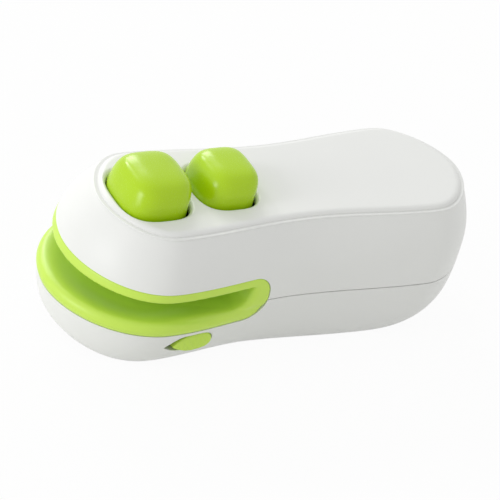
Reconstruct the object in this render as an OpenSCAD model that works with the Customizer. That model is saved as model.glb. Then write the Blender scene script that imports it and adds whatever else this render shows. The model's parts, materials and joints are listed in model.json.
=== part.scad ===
// Mini bag sealer: a hand-held heat sealer and bag cutter with two press buttons.
// The mouth opens at -X, the tail is at +X, +Z is up.
// The origin is on the table, under the middle of the body.

/* [Body] */
// Length from the lower lip to the tail
body_len = 109; // [105:0.5:116]
// Width of the head at the mouth
head_w = 49.3; // [47:0.1:54]
// Width of the waist at the parting line
waist_w = 42.7; // [40:0.1:46]
// Width of the tail at the parting line
tail_w = 46.8; // [45:0.1:52]
// Height of the top rim above the table
rim_h = 32.6; // [32:0.1:36]
// Width of the top rim over the head
rim_head_w = 36.5; // [35:0.1:40]
// Width of the top rim at the waist
rim_waist_w = 31.4; // [30:0.1:34]
// Width of the top rim at the tail
rim_tail_w = 36.9; // [35:0.1:40]
// Height of the raised top panel over the rim
panel_rise = 0.8; // [0.3:0.1:1]
// Wall thickness of both housings
wall = 1.7; // [1.4:0.1:2]
// Gap that shows as the parting line
seam_gap = 0.15; // [0.1:0.05:0.3]

/* [Mouth] */
// Height of the lower edge of the mouth above the table
lip_h = 10.1; // [9.5:0.1:11]
// Height of the mouth, lime edges included
mouth_h = 11.55; // [11:0.05:13]
// Depth of the mouth from the lower lip, lime end included
mouth_depth = 47.4; // [45:0.1:48]
// Thickness of the lime strip over the mouth
strip_t = 2.2; // [1.6:0.1:2.4]
// Thickness of the lime lip under the mouth
lip_t = 3.4; // [3:0.1:3.6]
// Thickness of the floor behind the lip
floor_t = 2.2; // [1.8:0.1:2.6]
// Thickness of the lime end of the mouth
end_t = 4.6; // [3.6:0.1:5]

/* [Buttons] */
// Distance of the seal button from the lower lip
seal_setback = 23; // [22.5:0.1:23.5]
// Distance between the two buttons' middles
button_pitch = 18.4; // [17.3:0.1:19]
// Length of the seal button's opening
seal_len = 17; // [15.6:0.1:17.4]
// Width of the seal button's opening
seal_wid = 21.3; // [19:0.1:21.6]
// Length of the cut button's opening
cut_len = 14.8; // [14:0.1:15.2]
// Width of the cut button's opening
cut_wid = 18.7; // [16.5:0.1:19]
// Height of the seal button over the top panel
seal_proud = 7.6; // [6.4:0.1:9]
// Height of the cut button over the top panel
cut_proud = 7.4; // [6:0.1:8]
// Travel of both buttons
stroke = 5.4; // [4.6:0.1:5.5]

/* [Slider] */
// Length of the power slider's thumb tab
tab_len = 10.4; // [8:0.1:11]
// Height of the thumb tab
tab_h = 3.6; // [2.8:0.1:3.8]
// Travel of the power slider
tab_travel = 2; // [1:0.5:3]
// Height of the slider's middle above the table
tab_z = 6.9; // [6.6:0.1:7.1]
// Distance of the slider's middle from the lower lip
tab_setback = 28.4; // [27:0.1:30]

/* [Cells] */
// Diameter of a cell
cell_d = 10.5; // [10:0.1:10.8]
// Length of a cell with its nub
cell_len = 44.5; // [43:0.5:45]
// Distance between the cells' axes
cell_pitch = 15.2; // [15:0.1:16]

/* [Hidden] */
$fn = 48;

// Clearances
fit = 0.05;
slide_gap = 0.15;
button_gap = 0.4;
door_gap = 0.3;
film_gap = 0.2;
over = 20;
past = 1;

// Colours
white = [0.93, 0.93, 0.92];
lime = [0.66, 0.84, 0.2];
natural = [0.86, 0.85, 0.8];
steel = [0.72, 0.73, 0.75];
dark = [0.2, 0.2, 0.21];
slate = [0.25, 0.3, 0.34];
tan_cloth = [0.62, 0.52, 0.4];
red = [0.75, 0.1, 0.1];

// Heights of the body's main outlines
sole_z = 0;
lip_z = lip_h;
brow_z = lip_h + mouth_h;
seam_rise = 4.8;
seam_z = lip_h + seam_rise;
rim_z = rim_h;
panel_z = rim_z + panel_rise;
roof_t = 1.5;
roof_z = rim_z - roof_t;

// Ends of the body
front_x = -body_len / 2;
back_x = body_len / 2;

// How far each outline stands back from the lip, the tail and the widest side
lip_bulge = 0.45;
seam_setback = 1.5;
brow_setback = 4;
rim_setback = 11.5;
rim_tail_setback = 3.6;
seam_tail_setback = 0.3;
lip_tail_setback = 0.6;
brow_head_inset = 0.1;
brow_waist_inset = 0.4;
brow_tail_inset = 1.2;
lip_side_inset = 0.4;
shoulder_power = 1.46;

// How far the sole rolls in under the lip outline, and how its nose and flanks change
front_under = 6.3;
nose_under = 9.6;
head_under = 6.2;
waist_shift = 13.5;
waist_under = 4.8;
tail_under = 4.4;
nose_fill = 0.3;
flank_straight = 0.95;
under_power = 2.03;

// How far the tail rolls in under the parting line
stern_rise = 4.1;
stern_z = lip_z + stern_rise;
back_under = 11.8;
stern_run = 3;
stern_point = 0.25;
stern_power = 2.3;

// One outline: nose x, nose length, head half, waist x, waist half, tail half, tail length,
// tail x, nose power, tail power, straightness of the flank from head to waist
rim_line = [front_x + rim_setback, 12.1, rim_head_w / 2, 3.6, rim_waist_w / 2, rim_tail_w / 2,
  13.4, back_x - rim_tail_setback, 1.85, 1.74, 0];
brow_line = [front_x + brow_setback, 17.9, head_w / 2 - brow_head_inset, 2.6,
  waist_w / 2 - brow_waist_inset, tail_w / 2 - brow_tail_inset, 16.3, back_x, 1.91, 1.6, 0];
seam_line = [front_x + seam_setback, 20, head_w / 2, 0, waist_w / 2, tail_w / 2, 18.5,
  back_x - seam_tail_setback, 1.91, 1.6, 0];
lip_line = [front_x + lip_bulge, 21.6, head_w / 2 - lip_side_inset, -2.9,
  waist_w / 2 - lip_side_inset, tail_w / 2 - lip_side_inset, 18.5, back_x - lip_tail_setback,
  1.91, 1.6, 0];
roll_under = [-front_under, nose_under, head_under, waist_shift, waist_under, tail_under, 0, 0,
  -nose_fill, 0, -flank_straight];
stern_under = [0, 0, 0, 0, 0, 0, -stern_run, back_under, 0, stern_point, 0];
draw_in = [1, 0, -1, 0, -1, -1, 0, -1, 0, 0, 0];

function blend(a, b, t) = a + (b - a) * t;
function ease(t) = (1 - cos(180 * t)) / 2;
function under(z, from, power) =
  let (t = min(1, max(0, (from - z) / (from - sole_z))))
  1 - pow(1 - pow(t, power), 1 / power);
function line_at(z) =
  z >= brow_z ? blend(brow_line, rim_line, pow((z - brow_z) / (rim_z - brow_z), shoulder_power))
  : z >= seam_z ? blend(seam_line, brow_line, (z - seam_z) / (brow_z - seam_z))
  : blend(lip_line, seam_line, max(0, (z - lip_z) / (seam_z - lip_z)))
    - roll_under * under(z, lip_z, under_power) - stern_under * under(z, stern_z, stern_power);

// Plan outline at a height, drawn in by an inset: near side first, then the far side
cap_steps = 9;
flank_steps = 6;
function cap_x(t, p) = 1 - pow(cos(t), 2 / p);
function cap_y(t, p) = pow(sin(t), 2 / p);
function near_side(l) =
  let (nose = l[0] + l[1], tail = l[7] - l[6])
  concat(
    [for (i = [0:cap_steps]) let (t = 90 * i / cap_steps)
      [l[0] + l[1] * cap_x(t, l[8]), -l[2] * cap_y(t, l[8])]],
    [for (i = [1:flank_steps]) let (t = i / flank_steps)
      [blend(nose, l[3], t), -blend(l[2], l[4], blend(ease(t), t, l[10]))]],
    [for (i = [1:flank_steps]) let (t = i / flank_steps)
      [blend(l[3], tail, t), -blend(l[4], l[5], ease(t))]],
    [for (i = [1:cap_steps]) let (t = 90 - 90 * i / cap_steps)
      [l[7] - l[6] * cap_x(t, l[9]), -l[5] * cap_y(t, l[9])]]);
function plan(z, inset = 0) =
  let (half = near_side(line_at(z) + draw_in * inset), n = len(half))
  concat(half, [for (i = [n - 2:-1:1]) [half[i][0], -half[i][1]]]);
function wall_y(x, z) = lookup(x, near_side(line_at(z)));
function ring(z, inset = 0) = [for (p = plan(z, inset)) [p[0], p[1], z]];

// Solid through a stack of rings with equal counts of points
module loft(rings) {
  n = len(rings[0]);
  top = (len(rings) - 1) * n;
  polyhedron(
    points = [for (r = rings) each r],
    faces = concat(
      [[for (i = [0:n - 1]) i]],
      [for (k = [0:len(rings) - 2], i = [0:n - 1]) let (j = (i + 1) % n)
        [k * n + i, (k + 1) * n + i, (k + 1) * n + j]],
      [for (k = [0:len(rings) - 2], i = [0:n - 1]) let (j = (i + 1) % n)
        [k * n + i, (k + 1) * n + j, k * n + j]],
      [concat([top], [for (i = [n - 1:-1:1]) top + i])]));
}

// Rounded rectangle centred on the origin
module round_rect(l, w, r) {
  square([l - 2 * r, w], center = true);
  square([l, w - 2 * r], center = true);
  for (x = [-1, 1], y = [-1, 1])
    translate([x * (l / 2 - r), y * (w / 2 - r)]) circle(r);
}

// Block with round upright edges, standing on z
module pillar(x, y, z, l, w, h, r) {
  translate([x, y, z]) linear_extrude(h) round_rect(l, w, r);
}

// Plain block between two corners
module block(low, high) {
  translate(low) cube(high - low);
}

// The mouth's outline in side view, drawn in by an inset, run right across the body
mouth_end_x = front_x + mouth_depth;
mouth_top_r = 4.4;
mouth_low_r = 6.2;
arc_steps = 6;
function corner(cx, cz, r, from, to) =
  [for (i = [0:arc_steps]) let (a = blend(from, to, i / arc_steps))
    [cx + r * cos(a), cz + r * sin(a)]];
module mouth_prism(end, low, high, low_r, top_r) {
  rotate([90, 0, 0])
    linear_extrude(head_w + over, center = true)
      polygon(concat([[front_x - over, low]],
        corner(end - low_r, low + low_r, low_r, -90, 0),
        corner(end - top_r, high - top_r, top_r, 0, 90),
        [[front_x - over, high]]));
}
module mouth_outside(grow = 0) {
  mouth_prism(mouth_end_x + grow, lip_z - grow, brow_z + grow, mouth_low_r + grow,
    mouth_top_r + grow);
}

// Heights inside the mouth
ceiling_z = brow_z - strip_t;
crest_z = lip_z + lip_t;
floor_z = lip_z + floor_t;
gap_end_x = mouth_end_x - end_t;

// Button places
seal_x = front_x + seal_setback;
cut_x = seal_x + button_pitch;
blade_offset = 3.3;
blade_x = cut_x - blade_offset;
bridge_x = (seal_x + seal_len / 2 + cut_x - cut_len / 2) / 2;
opening_round = 1.2;

// What the buttons carry
pad_lift = 0.2;
tip_lift = 0.3;
pad_z = ceiling_z + pad_lift;
tip_z = ceiling_z + tip_lift;
heater_top = pad_z - stroke - film_gap;
mat_top = tip_z - stroke - film_gap;
flange_t = 1;
flange_gap = 0.1;
flange_top = roof_z - flange_gap;
flange_z = flange_top - flange_t;
lug = 0.9;
neck = 0.97;
pocket_wall = 1.3;
pocket_roof = 2.4;
plug_h = 3;
stem_len = 4.4;
stem_wid = 14;
pad_t = 1.6;
pad_inset = 0.4;
holder_len = 2.6;
holder_wid = 11;
holder_end = brow_z + tip_lift + stroke;
blade_t = 0.5;
blade_wid = 10;
blade_root = 2.2;
blade_top = flange_z + blade_root;

// Springs
coil_d = 3;
coil_wire = 0.4;
coil_turns = 6;
seal_coil_x = 3.8;
cut_coil_x = 1.7;
cut_coil_y = 3.4;
coil_room = 0.5;
coil_hole = coil_d + coil_room;

// Guide plate
guide_stand = 1.1;
guide_t = 1.3;
guide_z = brow_z + guide_stand;
guide_top = guide_z + guide_t;
guide_gap = 1.2;
guide_inset = wall + guide_gap;
guide_reach = 3.4;
guide_end = mouth_end_x + guide_reach;
guide_rim = 1.2;
boss_d = 4.2;
boss_y = 13.4;
boss_offset = 6.4;
guide_boss_x = [bridge_x, cut_x + boss_offset];
small_screw_d = 1.6;
small_screw_reach = 4;
small_hole_room = 1;
small_head_d = 3;
small_head_t = 0.8;

// Heater
heater_len = 6;
heater_wid = 17;
heater_foot_len = 9;
heater_foot_wid = 20;
heater_foot_t = 1.2;
ribbon_len = 2.4;
ribbon_inset = 1;
ribbon_t = 0.15;
cover_t = 0.15;
cover_flap = 1.2;
cover_slack = 0.05;
base_top = heater_top - cover_t - ribbon_t;
heater_foot_z = lip_z - fit - heater_foot_t;
heater_slot_len = heater_len + 2 * (cover_t + cover_slack + film_gap);
post_d = 6;
post_y = 7;

// Cut mat
mat_len = 4;
mat_wid = 12;
mat_sink = 0.6;

// Cell tray
tray_wall = 1.2;
tray_web = 2.2;
tray_x0 = mouth_end_x + tray_web;
contact_t = 0.4;
coil_contact_len = 3.6;
cell_gap = 0.05;
nub_len = 1;
nub_d = 3.8;
cell_body = cell_len - nub_len;
cell_y = cell_pitch / 2;
cell_rise = 2.45;
cell_z = sole_z + wall + cell_rise + cell_d / 2;
tray_len = 2 * contact_t + cell_len + coil_contact_len + 2 * cell_gap;
tray_x1 = tray_x0 + tray_len;
cell_headroom = 0.4;
tray_top = cell_z + cell_d / 2 + cell_headroom;
tray_plate_t = 1.2;
tray_side_gap = 0.6;
contact_h = 7;
contact_w = 9;

// Door
door_edge = 0.4;
door_x0 = tray_x0 + door_edge;
door_x1 = tray_x1 - door_edge;
door_side = 0.5;
door_w = cell_pitch + cell_d + 2 * door_side;
door_r = 5;
door_rise = 8;
tongue_w = 5;
tongue_reach = 1.6;
tongue_lift = 0.3;
tongue_t = 1;
notch_gap = 0.5;
notch_w = tongue_w + 2 * notch_gap;
notch_h = 3;

// Housing screws
screw_d = 2.2;
screw_gap = 0.2;
screw_head_d = 4.2;
screw_head_t = 1.4;
screw_len = 10;
screw_boss_d = 6;
screw_x = [for (t = [0.14, 0.5, 0.86]) tray_x0 + tray_len * t];

// Slider: its own frame lies on the wall, x along the wall and y inward
tab_x = front_x + tab_setback;
tab_y = wall_y(tab_x, tab_z);
tab_span = 4;
tab_turn = atan2(wall_y(tab_x + tab_span, tab_z) - wall_y(tab_x - tab_span, tab_z), 2 * tab_span);
tab_proud = 0.7;
slider_setback = 2.5;
slider_flange_y = wall + slider_setback;
slider_flange_t = 1;
slider_flange_grow = 1.4;
prong = 1.8;
prong_len = 1.4;
switch_gap = 0.3;
switch_len = 11;
switch_wid = 5;
switch_h = 5;
switch_y = slider_flange_y + slider_flange_t + switch_gap;
lead_d = 1.2;
module on_slider() {
  translate([tab_x, tab_y, tab_z]) rotate(tab_turn) children();
}
function on_slider(p) = [tab_x + p[0] * cos(tab_turn) - p[1] * sin(tab_turn),
  tab_y + p[0] * sin(tab_turn) + p[1] * cos(tab_turn), tab_z + p[2]];

// Shell outlines: the rim ends in a narrow ledge, from which the top panel rounds up
rim_round = 0.45;
ledge = 0.5;
panel_round = 1.6;
upper_heights = [seam_z + seam_gap / 2, blend(seam_z, brow_z, 0.5), brow_z,
  blend(brow_z, rim_z, 0.33), blend(brow_z, rim_z, 0.66), rim_z - rim_round];
under_steps = [1, 0.97, 0.9, 0.78, 0.6, 0.35, 0];
panel_turns = [0, 30, 60, 90];

function raised(loop, z) = [for (p = loop) [p[0], p[1], z]];
module upper_outside() {
  loft(concat([for (z = upper_heights) ring(z)], [ring(rim_z, rim_round)],
    [for (a = panel_turns) raised(plan(rim_z, rim_round + ledge + panel_round * (1 - cos(a))),
      rim_z + panel_rise * sin(a))]));
}
module upper_inside() {
  loft([for (z = [seam_z - past, brow_z, blend(brow_z, roof_z, 0.5), roof_z]) ring(z, wall)]);
}
module lower_outside() {
  loft(concat([for (t = under_steps) ring(blend(lip_z, sole_z, t))],
    [ring(seam_z - seam_gap / 2)]));
}
module lower_inside(inset = wall, rise = wall, top = seam_z + past) {
  loft(concat([for (t = under_steps)
      raised(plan(blend(lip_z, sole_z, t), inset), blend(lip_z, sole_z + rise, t))],
    [ring(top, inset)]));
}

// Button opening with a softly rounded edge
module opening(x, l, w) {
  translate([x, 0, 0])
    loft(concat([squircle(l, w, roof_z - past)],
      [for (a = [0:22.5:90]) let (grow = 2 * opening_round * (1 - cos(a)))
        squircle(l + grow, w + grow, panel_z - opening_round * (1 - sin(a)))],
      [squircle(l + 2 * opening_round, w + 2 * opening_round, panel_z + past)]));
}

module upper_housing() {
  color(white) difference() {
    union() {
      difference() {
        upper_outside();
        upper_inside();
      }
      for (x = guide_boss_x, s = [-1, 1])
        translate([x, s * boss_y, guide_top]) cylinder(d = boss_d, h = roof_z - guide_top + fit);
      for (x = screw_x)
        translate([x, 0, tray_top + tray_plate_t + fit])
          cylinder(d = screw_boss_d, h = roof_z - tray_top - tray_plate_t);
    }
    mouth_outside(fit);
    opening(seal_x, seal_len, seal_wid);
    opening(cut_x, cut_len, cut_wid);
    for (x = guide_boss_x, s = [-1, 1])
      translate([x, s * boss_y, guide_z])
        cylinder(d = small_screw_d + 2 * fit, h = guide_t + small_screw_reach + small_hole_room);
    for (x = screw_x)
      translate([x, 0, tray_top]) cylinder(d = screw_d + 2 * fit, h = screw_len);
  }
}

// The plan of the door, and the room that the cell tray may take
module door_prism(grow = 0) {
  pillar((door_x0 + door_x1) / 2, 0, sole_z - past, door_x1 - door_x0 + 2 * grow, door_w + 2 * grow,
    door_rise + past, door_r + grow);
}
module tray_room() {
  lower_inside(wall / 2, wall / 2, seam_z - seam_gap);
  translate([0, 0, lip_z]) linear_extrude(tray_top + tray_plate_t - lip_z)
    polygon(plan(seam_z, wall + tray_side_gap));
}
module lower_housing() {
  tray_end = tray_top + tray_plate_t;
  color(white) difference() {
    union() {
      difference() {
        lower_outside();
        lower_inside();
        door_prism(door_gap);
      }
      intersection() {
        tray_room();
        union() {
          block([tray_x0 - tray_wall, -tail_w, sole_z], [tray_x0, tail_w, tray_end]);
          block([tray_x1, -tail_w, sole_z], [tray_x1 + tray_wall, tail_w, tray_end]);
          block([tray_x0 - tray_wall, -tail_w, tray_top], [tray_x1 + tray_wall, tail_w, tray_end]);
          on_slider() block([-switch_len / 2, switch_y, -tab_z],
            [switch_len / 2, switch_y + switch_wid, -switch_h / 2]);
        }
      }
      for (s = [-1, 1])
        translate([seal_x, s * post_y, sole_z + wall / 2])
          cylinder(d = post_d, h = heater_foot_z - sole_z - wall / 2);
    }
    mouth_outside(fit);
    block([tray_x0 - 2 * tray_wall, -notch_w / 2, sole_z + wall],
      [tray_x0 + tray_wall, notch_w / 2, sole_z + wall + notch_h]);
    for (x = screw_x)
      translate([x, 0, tray_top - tray_plate_t])
        cylinder(d = screw_d + 2 * screw_gap, h = 3 * tray_plate_t);
    on_slider() tab_prism(tab_gap, tab_travel, -over, slider_flange_y - flange_gap);
  }
}

// The liner: strip, rounded end and floor in one, with a fat rounded lip round the floor
lip_belt = lip_z + 0.44 * lip_t;
lip_run = 1.6;
lip_slope = 3.4;
lip_turns = [0, 30, 55, 80];
gap_low_r = 3.2;
gap_top_r = 0.8;
slot_gap = 0.3;
slot_r = 0.4;
module mouth_liner() {
  slot_z = ceiling_z - slot_gap;
  slot_h = brow_z - slot_z + slot_gap;
  color(lime) difference() {
    intersection() {
      loft(concat([ring(lip_z)],
        [for (a = lip_turns)
          raised(plan(lip_z, blend(lip_run, -lip_bulge, cos(a))), blend(lip_belt, crest_z, sin(a)))],
        [for (z = [blend(crest_z, seam_z, 0.5), seam_z, ceiling_z, brow_z]) ring(z)]));
      mouth_outside();
    }
    mouth_prism(gap_end_x, crest_z, ceiling_z, gap_low_r, gap_top_r);
    intersection() {
      loft([ring(floor_z, lip_run + lip_slope), ring(crest_z + fit, lip_run + slot_gap)]);
      mouth_prism(gap_end_x - gap_low_r / 2, floor_z, ceiling_z, lip_slope / 2, gap_top_r);
    }
    pillar(seal_x, 0, slot_z, stem_len + 2 * slot_gap, stem_wid + 2 * slot_gap, slot_h, slot_r);
    pillar(blade_x, 0, slot_z, blade_t + 2 * slot_gap, blade_wid + 2 * slot_gap, slot_h, slot_r);
    pillar(seal_x, 0, lip_z - floor_t, heater_slot_len, heater_wid + slot_gap, 3 * floor_t, slot_r);
    pillar(blade_x, 0, floor_z - mat_sink, mat_len + 2 * fit, mat_wid + 2 * fit, lip_t, slot_r);
  }
}

// Pillow-shaped cap that leans to the tail, with a hollow for its carrier and a lug on each side
plan_power = 0.66;
plan_points = 40;
function swing(v) = sign(v) * pow(abs(v), plan_power);
function squircle(l, w, z, k = 1, shift = 0) =
  [for (i = [0:plan_points - 1]) let (a = 360 * i / plan_points)
    [k * l / 2 * swing(cos(a)) + shift, k * w / 2 * swing(sin(a)), z]];
dome_steps = [0, 0.3, 0.52, 0.7, 0.84, 0.94, 0.985];
dome_power = 2.95;
button_belt = 0.15;
button_lean = 0.9;
function dome(u) = pow(1 - pow(u, dome_power), 1 / dome_power);
// Room in the foot of a button, drawn in by a clearance
module button_room(l, w, gap, from, to) {
  room_l = neck * (l - 2 * button_gap) - 2 * (pocket_wall + gap);
  room_w = neck * (w - 2 * button_gap) - 2 * (pocket_wall + gap);
  loft([squircle(room_l, room_w, from), squircle(room_l, room_w, to)]);
}
module pillow_button(x, l, w, proud) {
  cap_l = l - 2 * button_gap;
  cap_w = w - 2 * button_gap;
  top_z = panel_z + proud;
  belt_z = panel_z + proud * button_belt;
  translate([x, 0, 0]) difference() {
    union() {
      loft(concat([squircle(cap_l, cap_w, flange_z, neck), squircle(cap_l, cap_w, panel_z, neck)],
        [for (u = dome_steps)
          squircle(cap_l, cap_w, blend(belt_z, top_z, u), dome(u), button_lean * u * u)]));
      pillar(0, 0, flange_z, cap_l / 2, w + 2 * lug, flange_t, slot_r);
    }
    button_room(l, w, 0, flange_z - flange_t, top_z - pocket_roof);
  }
}
module seal_button() {
  color(lime) pillow_button(seal_x, seal_len, seal_wid, seal_proud);
}
module cut_button() {
  color(lime) pillow_button(cut_x, cut_len, cut_wid, cut_proud);
}

// Plug that fills the foot of a button's hollow
module plug(x, l, w) {
  translate([x, 0, 0]) button_room(l, w, fit, flange_z, flange_z + plug_h);
}
module coil_bore(x, y) {
  translate([x, y, flange_z - flange_t]) cylinder(d = coil_hole, h = plug_h + 2 * flange_t);
}
module seal_plunger() {
  color(natural) difference() {
    union() {
      plug(seal_x, seal_len, seal_wid);
      pillar(seal_x, 0, pad_z + pad_t, stem_len, stem_wid, flange_z + plug_h / 2 - pad_z - pad_t, slot_r);
    }
    for (s = [-1, 1]) coil_bore(seal_x + s * seal_coil_x, 0);
  }
}
module press_pad() {
  color(natural) pillar(seal_x, 0, pad_z, stem_len - pad_inset, stem_wid, pad_t, slot_r);
}
module blade_holder() {
  color(natural) difference() {
    union() {
      plug(cut_x, cut_len, cut_wid);
      pillar(blade_x, 0, holder_end, holder_len, holder_wid, flange_z + plug_h / 2 - holder_end, slot_r);
    }
    block([blade_x - blade_t / 2 - fit, -blade_wid / 2 - fit, holder_end - flange_t],
      [blade_x + blade_t / 2 + fit, blade_wid / 2 + fit, blade_top + fit]);
    for (s = [-1, 1]) coil_bore(cut_x + cut_coil_x, s * cut_coil_y);
  }
}

// Blade with a row of teeth along its lower edge
tooth_count = 8;
tooth_h = 1;
module cutter_blade() {
  pitch = blade_wid / tooth_count;
  color(steel) translate([blade_x - blade_t / 2, 0, 0])
    rotate([90, 0, 90])
      linear_extrude(blade_t)
        polygon(concat([[-blade_wid / 2, blade_top]],
          [for (i = [0:tooth_count - 1]) let (y = -blade_wid / 2 + i * pitch)
            each [[y, tip_z + tooth_h], [y + pitch / 2, tip_z]]],
          [[blade_wid / 2, tip_z + tooth_h], [blade_wid / 2, blade_top]]));
}
module cut_mat() {
  color(dark)
    pillar(blade_x, 0, floor_z - mat_sink, mat_len, mat_wid, mat_top - floor_z + mat_sink, slot_r);
}

// Ceramic bar with a wide foot held under the mouth's floor
module heater_base() {
  color(natural) {
    pillar(seal_x, 0, heater_foot_z, heater_foot_len, heater_foot_wid, heater_foot_t, slot_r);
    pillar(seal_x, 0, heater_foot_z, heater_len, heater_wid, base_top - heater_foot_z, slot_r);
  }
}
module heater_strip() {
  color(steel) pillar(seal_x, 0, base_top, ribbon_len, heater_wid - ribbon_inset, ribbon_t, ribbon_t);
}
module heater_cover() {
  half = heater_len / 2 + cover_slack;
  color(tan_cloth) {
    block([seal_x - half - cover_t, -heater_wid / 2, heater_top - cover_t],
      [seal_x + half + cover_t, heater_wid / 2, heater_top]);
    for (s = [-1, 1])
      translate([seal_x + s * (half + cover_t / 2), 0, heater_top - cover_flap / 2])
        cube([cover_t, heater_wid, cover_flap], center = true);
  }
}

// Coil spring: one tube swept along a helix, its ends on flat seats
coil_sides = 6;
coil_rings = 8;
module coil(d, wire, turns, h) {
  r = (d - wire) / 2;
  count = turns * coil_rings;
  rise = h - wire;
  loft([for (i = [0:count]) let (a = 360 * i / coil_rings, z = wire / 2 + rise * i / count)
    [for (k = [0:coil_sides - 1]) let (b = -360 * k / coil_sides)
      [(r + wire / 2 * cos(b)) * cos(a), (r + wire / 2 * cos(b)) * sin(a), z + wire / 2 * sin(b)]]]);
}
seal_coil_h = panel_z + seal_proud - pocket_roof - guide_top;
cut_coil_h = panel_z + cut_proud - pocket_roof - guide_top;
module seal_springs() {
  color(steel) for (s = [-1, 1])
    translate([seal_x + s * seal_coil_x, 0, guide_top + fit])
      coil(coil_d, coil_wire, coil_turns, seal_coil_h - 2 * fit);
}
module cut_springs() {
  color(steel) for (s = [-1, 1])
    translate([cut_x + cut_coil_x, s * cut_coil_y, guide_top + fit])
      coil(coil_d, coil_wire, coil_turns, cut_coil_h - 2 * fit);
}

// Plate on a low rim, screwed up to the housing's bosses
module guide_area(inset) {
  intersection() {
    polygon(plan(guide_z, inset));
    translate([front_x, -head_w]) square([guide_end - front_x, 2 * head_w]);
  }
}
module guide_plate() {
  color(dark) difference() {
    union() {
      translate([0, 0, guide_z]) linear_extrude(guide_t) guide_area(guide_inset);
      translate([0, 0, brow_z + fit]) linear_extrude(guide_stand) difference() {
        guide_area(guide_inset);
        guide_area(guide_inset + guide_rim);
      }
    }
    pillar(seal_x, 0, brow_z, stem_len + 2 * slide_gap, stem_wid + 2 * slide_gap, over, slot_r);
    pillar(blade_x, 0, brow_z, holder_len + 2 * slot_gap, holder_wid + 2 * slot_gap, over, slot_r);
    for (x = guide_boss_x, s = [-1, 1])
      translate([x, s * boss_y, brow_z]) cylinder(d = small_screw_d + slot_gap, h = over);
  }
}
module guide_screws() {
  color(steel) for (x = guide_boss_x, s = [-1, 1])
    translate([x, s * boss_y, guide_z - small_head_t]) {
      cylinder(d = small_head_d, h = small_head_t);
      cylinder(d = small_screw_d, h = small_head_t + guide_t + small_screw_reach);
    }
}

// Thumb tab: pointed in front, blunt behind, with ribs, a flange behind the wall and a prong
tab_gap = 0.3;
tab_tilt = 0.05;
tab_steps = 16;
rib_count = 4;
rib_pitch = 1.8;
rib_r = 0.6;
rib_depth = 0.25;
tab_front_power = 1.8;
tab_back_power = 4;
function tab_swell(s) = s < 0 ? pow(1 - pow(-s, tab_front_power), 0.9) : sqrt(1 - pow(s, tab_back_power));
function tab_point(i, side, grow, travel) =
  let (s = -cos(180 * i / tab_steps), x = (tab_len / 2 + grow) * s)
  [x - (s < 0 ? travel : 0), tab_tilt * x + side * (tab_h / 2 + grow) * tab_swell(s)];
module tab_prism(grow, travel, from, to) {
  translate([0, to, 0]) rotate([90, 0, 0]) linear_extrude(to - from)
    polygon(concat([for (i = [0:tab_steps]) tab_point(i, -1, grow, travel)],
      [for (i = [tab_steps - 1:-1:1]) tab_point(i, 1, grow, travel)]));
}
module power_slider() {
  color(lime) on_slider() difference() {
    union() {
      tab_prism(0, 0, -tab_proud, slider_flange_y + fit);
      translate([0, slider_flange_y + slider_flange_t / 2, 0])
        cube([tab_len + slider_flange_grow, slider_flange_t, tab_h + slider_flange_grow], center = true);
      translate([0, slider_flange_y + slider_flange_t + prong_len / 2 - fit, 0])
        cube([prong, prong_len, prong], center = true);
    }
    for (i = [0:rib_count - 1])
      translate([(i - (rib_count - 1) / 2) * rib_pitch, -tab_proud - rib_r + rib_depth, 0])
        cylinder(r = rib_r, h = 2 * tab_h, center = true);
  }
}
module slide_switch() {
  color(dark) on_slider() difference() {
    block([-switch_len / 2, switch_y, -switch_h / 2 + fit],
      [switch_len / 2, switch_y + switch_wid, switch_h / 2]);
    translate([-tab_travel / 2, switch_y, 0])
      cube([prong + tab_travel + 2 * switch_gap, 2 * (prong_len + switch_gap), prong + 2 * switch_gap],
        center = true);
  }
}

// Inner lead: one round tube swept through its points
lead_sides = 8;
function unit(v) = v / norm(v);
function lead_way(p, i) = unit(
  (i > 0 ? unit(p[i] - p[i - 1]) : [0, 0, 0]) + (i < len(p) - 1 ? unit(p[i + 1] - p[i]) : [0, 0, 0]));
function lead_ring(at, way) =
  let (u = unit(cross(way, abs(way[2]) > 0.9 ? [0, 1, 0] : [0, 0, 1])), v = cross(way, u))
  [for (k = [0:lead_sides - 1]) let (a = 360 * k / lead_sides)
    at + lead_d / 2 * (cos(a) * u + sin(a) * v)];
module lead(points) {
  loft([for (i = [0:len(points) - 1]) lead_ring(points[i], lead_way(points, i))]);
}
lead_rise = 2.6;
lead_z = sole_z + wall + lead_rise;
lead_bend = 1.5;
lead_inset = 1.2;
heater_lead_x = seal_x + heater_foot_len / 2 - lead_inset;
heater_lead_y = heater_foot_wid / 2 - lead_inset;
switch_back = switch_y + switch_wid + fit;
switch_lead_end = on_slider([2 * lead_bend, switch_back, -lead_d]);
heater_lead_start = on_slider([-lead_bend, switch_back, 0]);
contact_face = tray_x0 - tray_wall - fit;
module switch_lead() {
  end = switch_lead_end;
  color(red) lead([[contact_face, -cell_y, lead_z], [contact_face - lead_bend, -cell_y, lead_z],
    [end[0] + lead_bend, end[1] + 2 * lead_bend, end[2]], [end[0], end[1] + lead_bend, end[2]], end]);
}
module heater_lead() {
  start = heater_lead_start;
  color(red) lead([start, start + [0, lead_bend, 0],
    [heater_lead_x, -heater_lead_y - lead_bend, heater_foot_z - 2 * lead_bend],
    [heater_lead_x, -heater_lead_y, heater_foot_z - lead_bend],
    [heater_lead_x, -heater_lead_y, heater_foot_z - fit]]);
}
module return_lead() {
  color(dark) lead([[contact_face, cell_y, lead_z], [contact_face - lead_bend, cell_y, lead_z],
    [heater_lead_x + lead_bend, heater_lead_y, lead_z],
    [heater_lead_x, heater_lead_y, lead_z + lead_bend],
    [heater_lead_x, heater_lead_y, heater_foot_z - fit]]);
}

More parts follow.
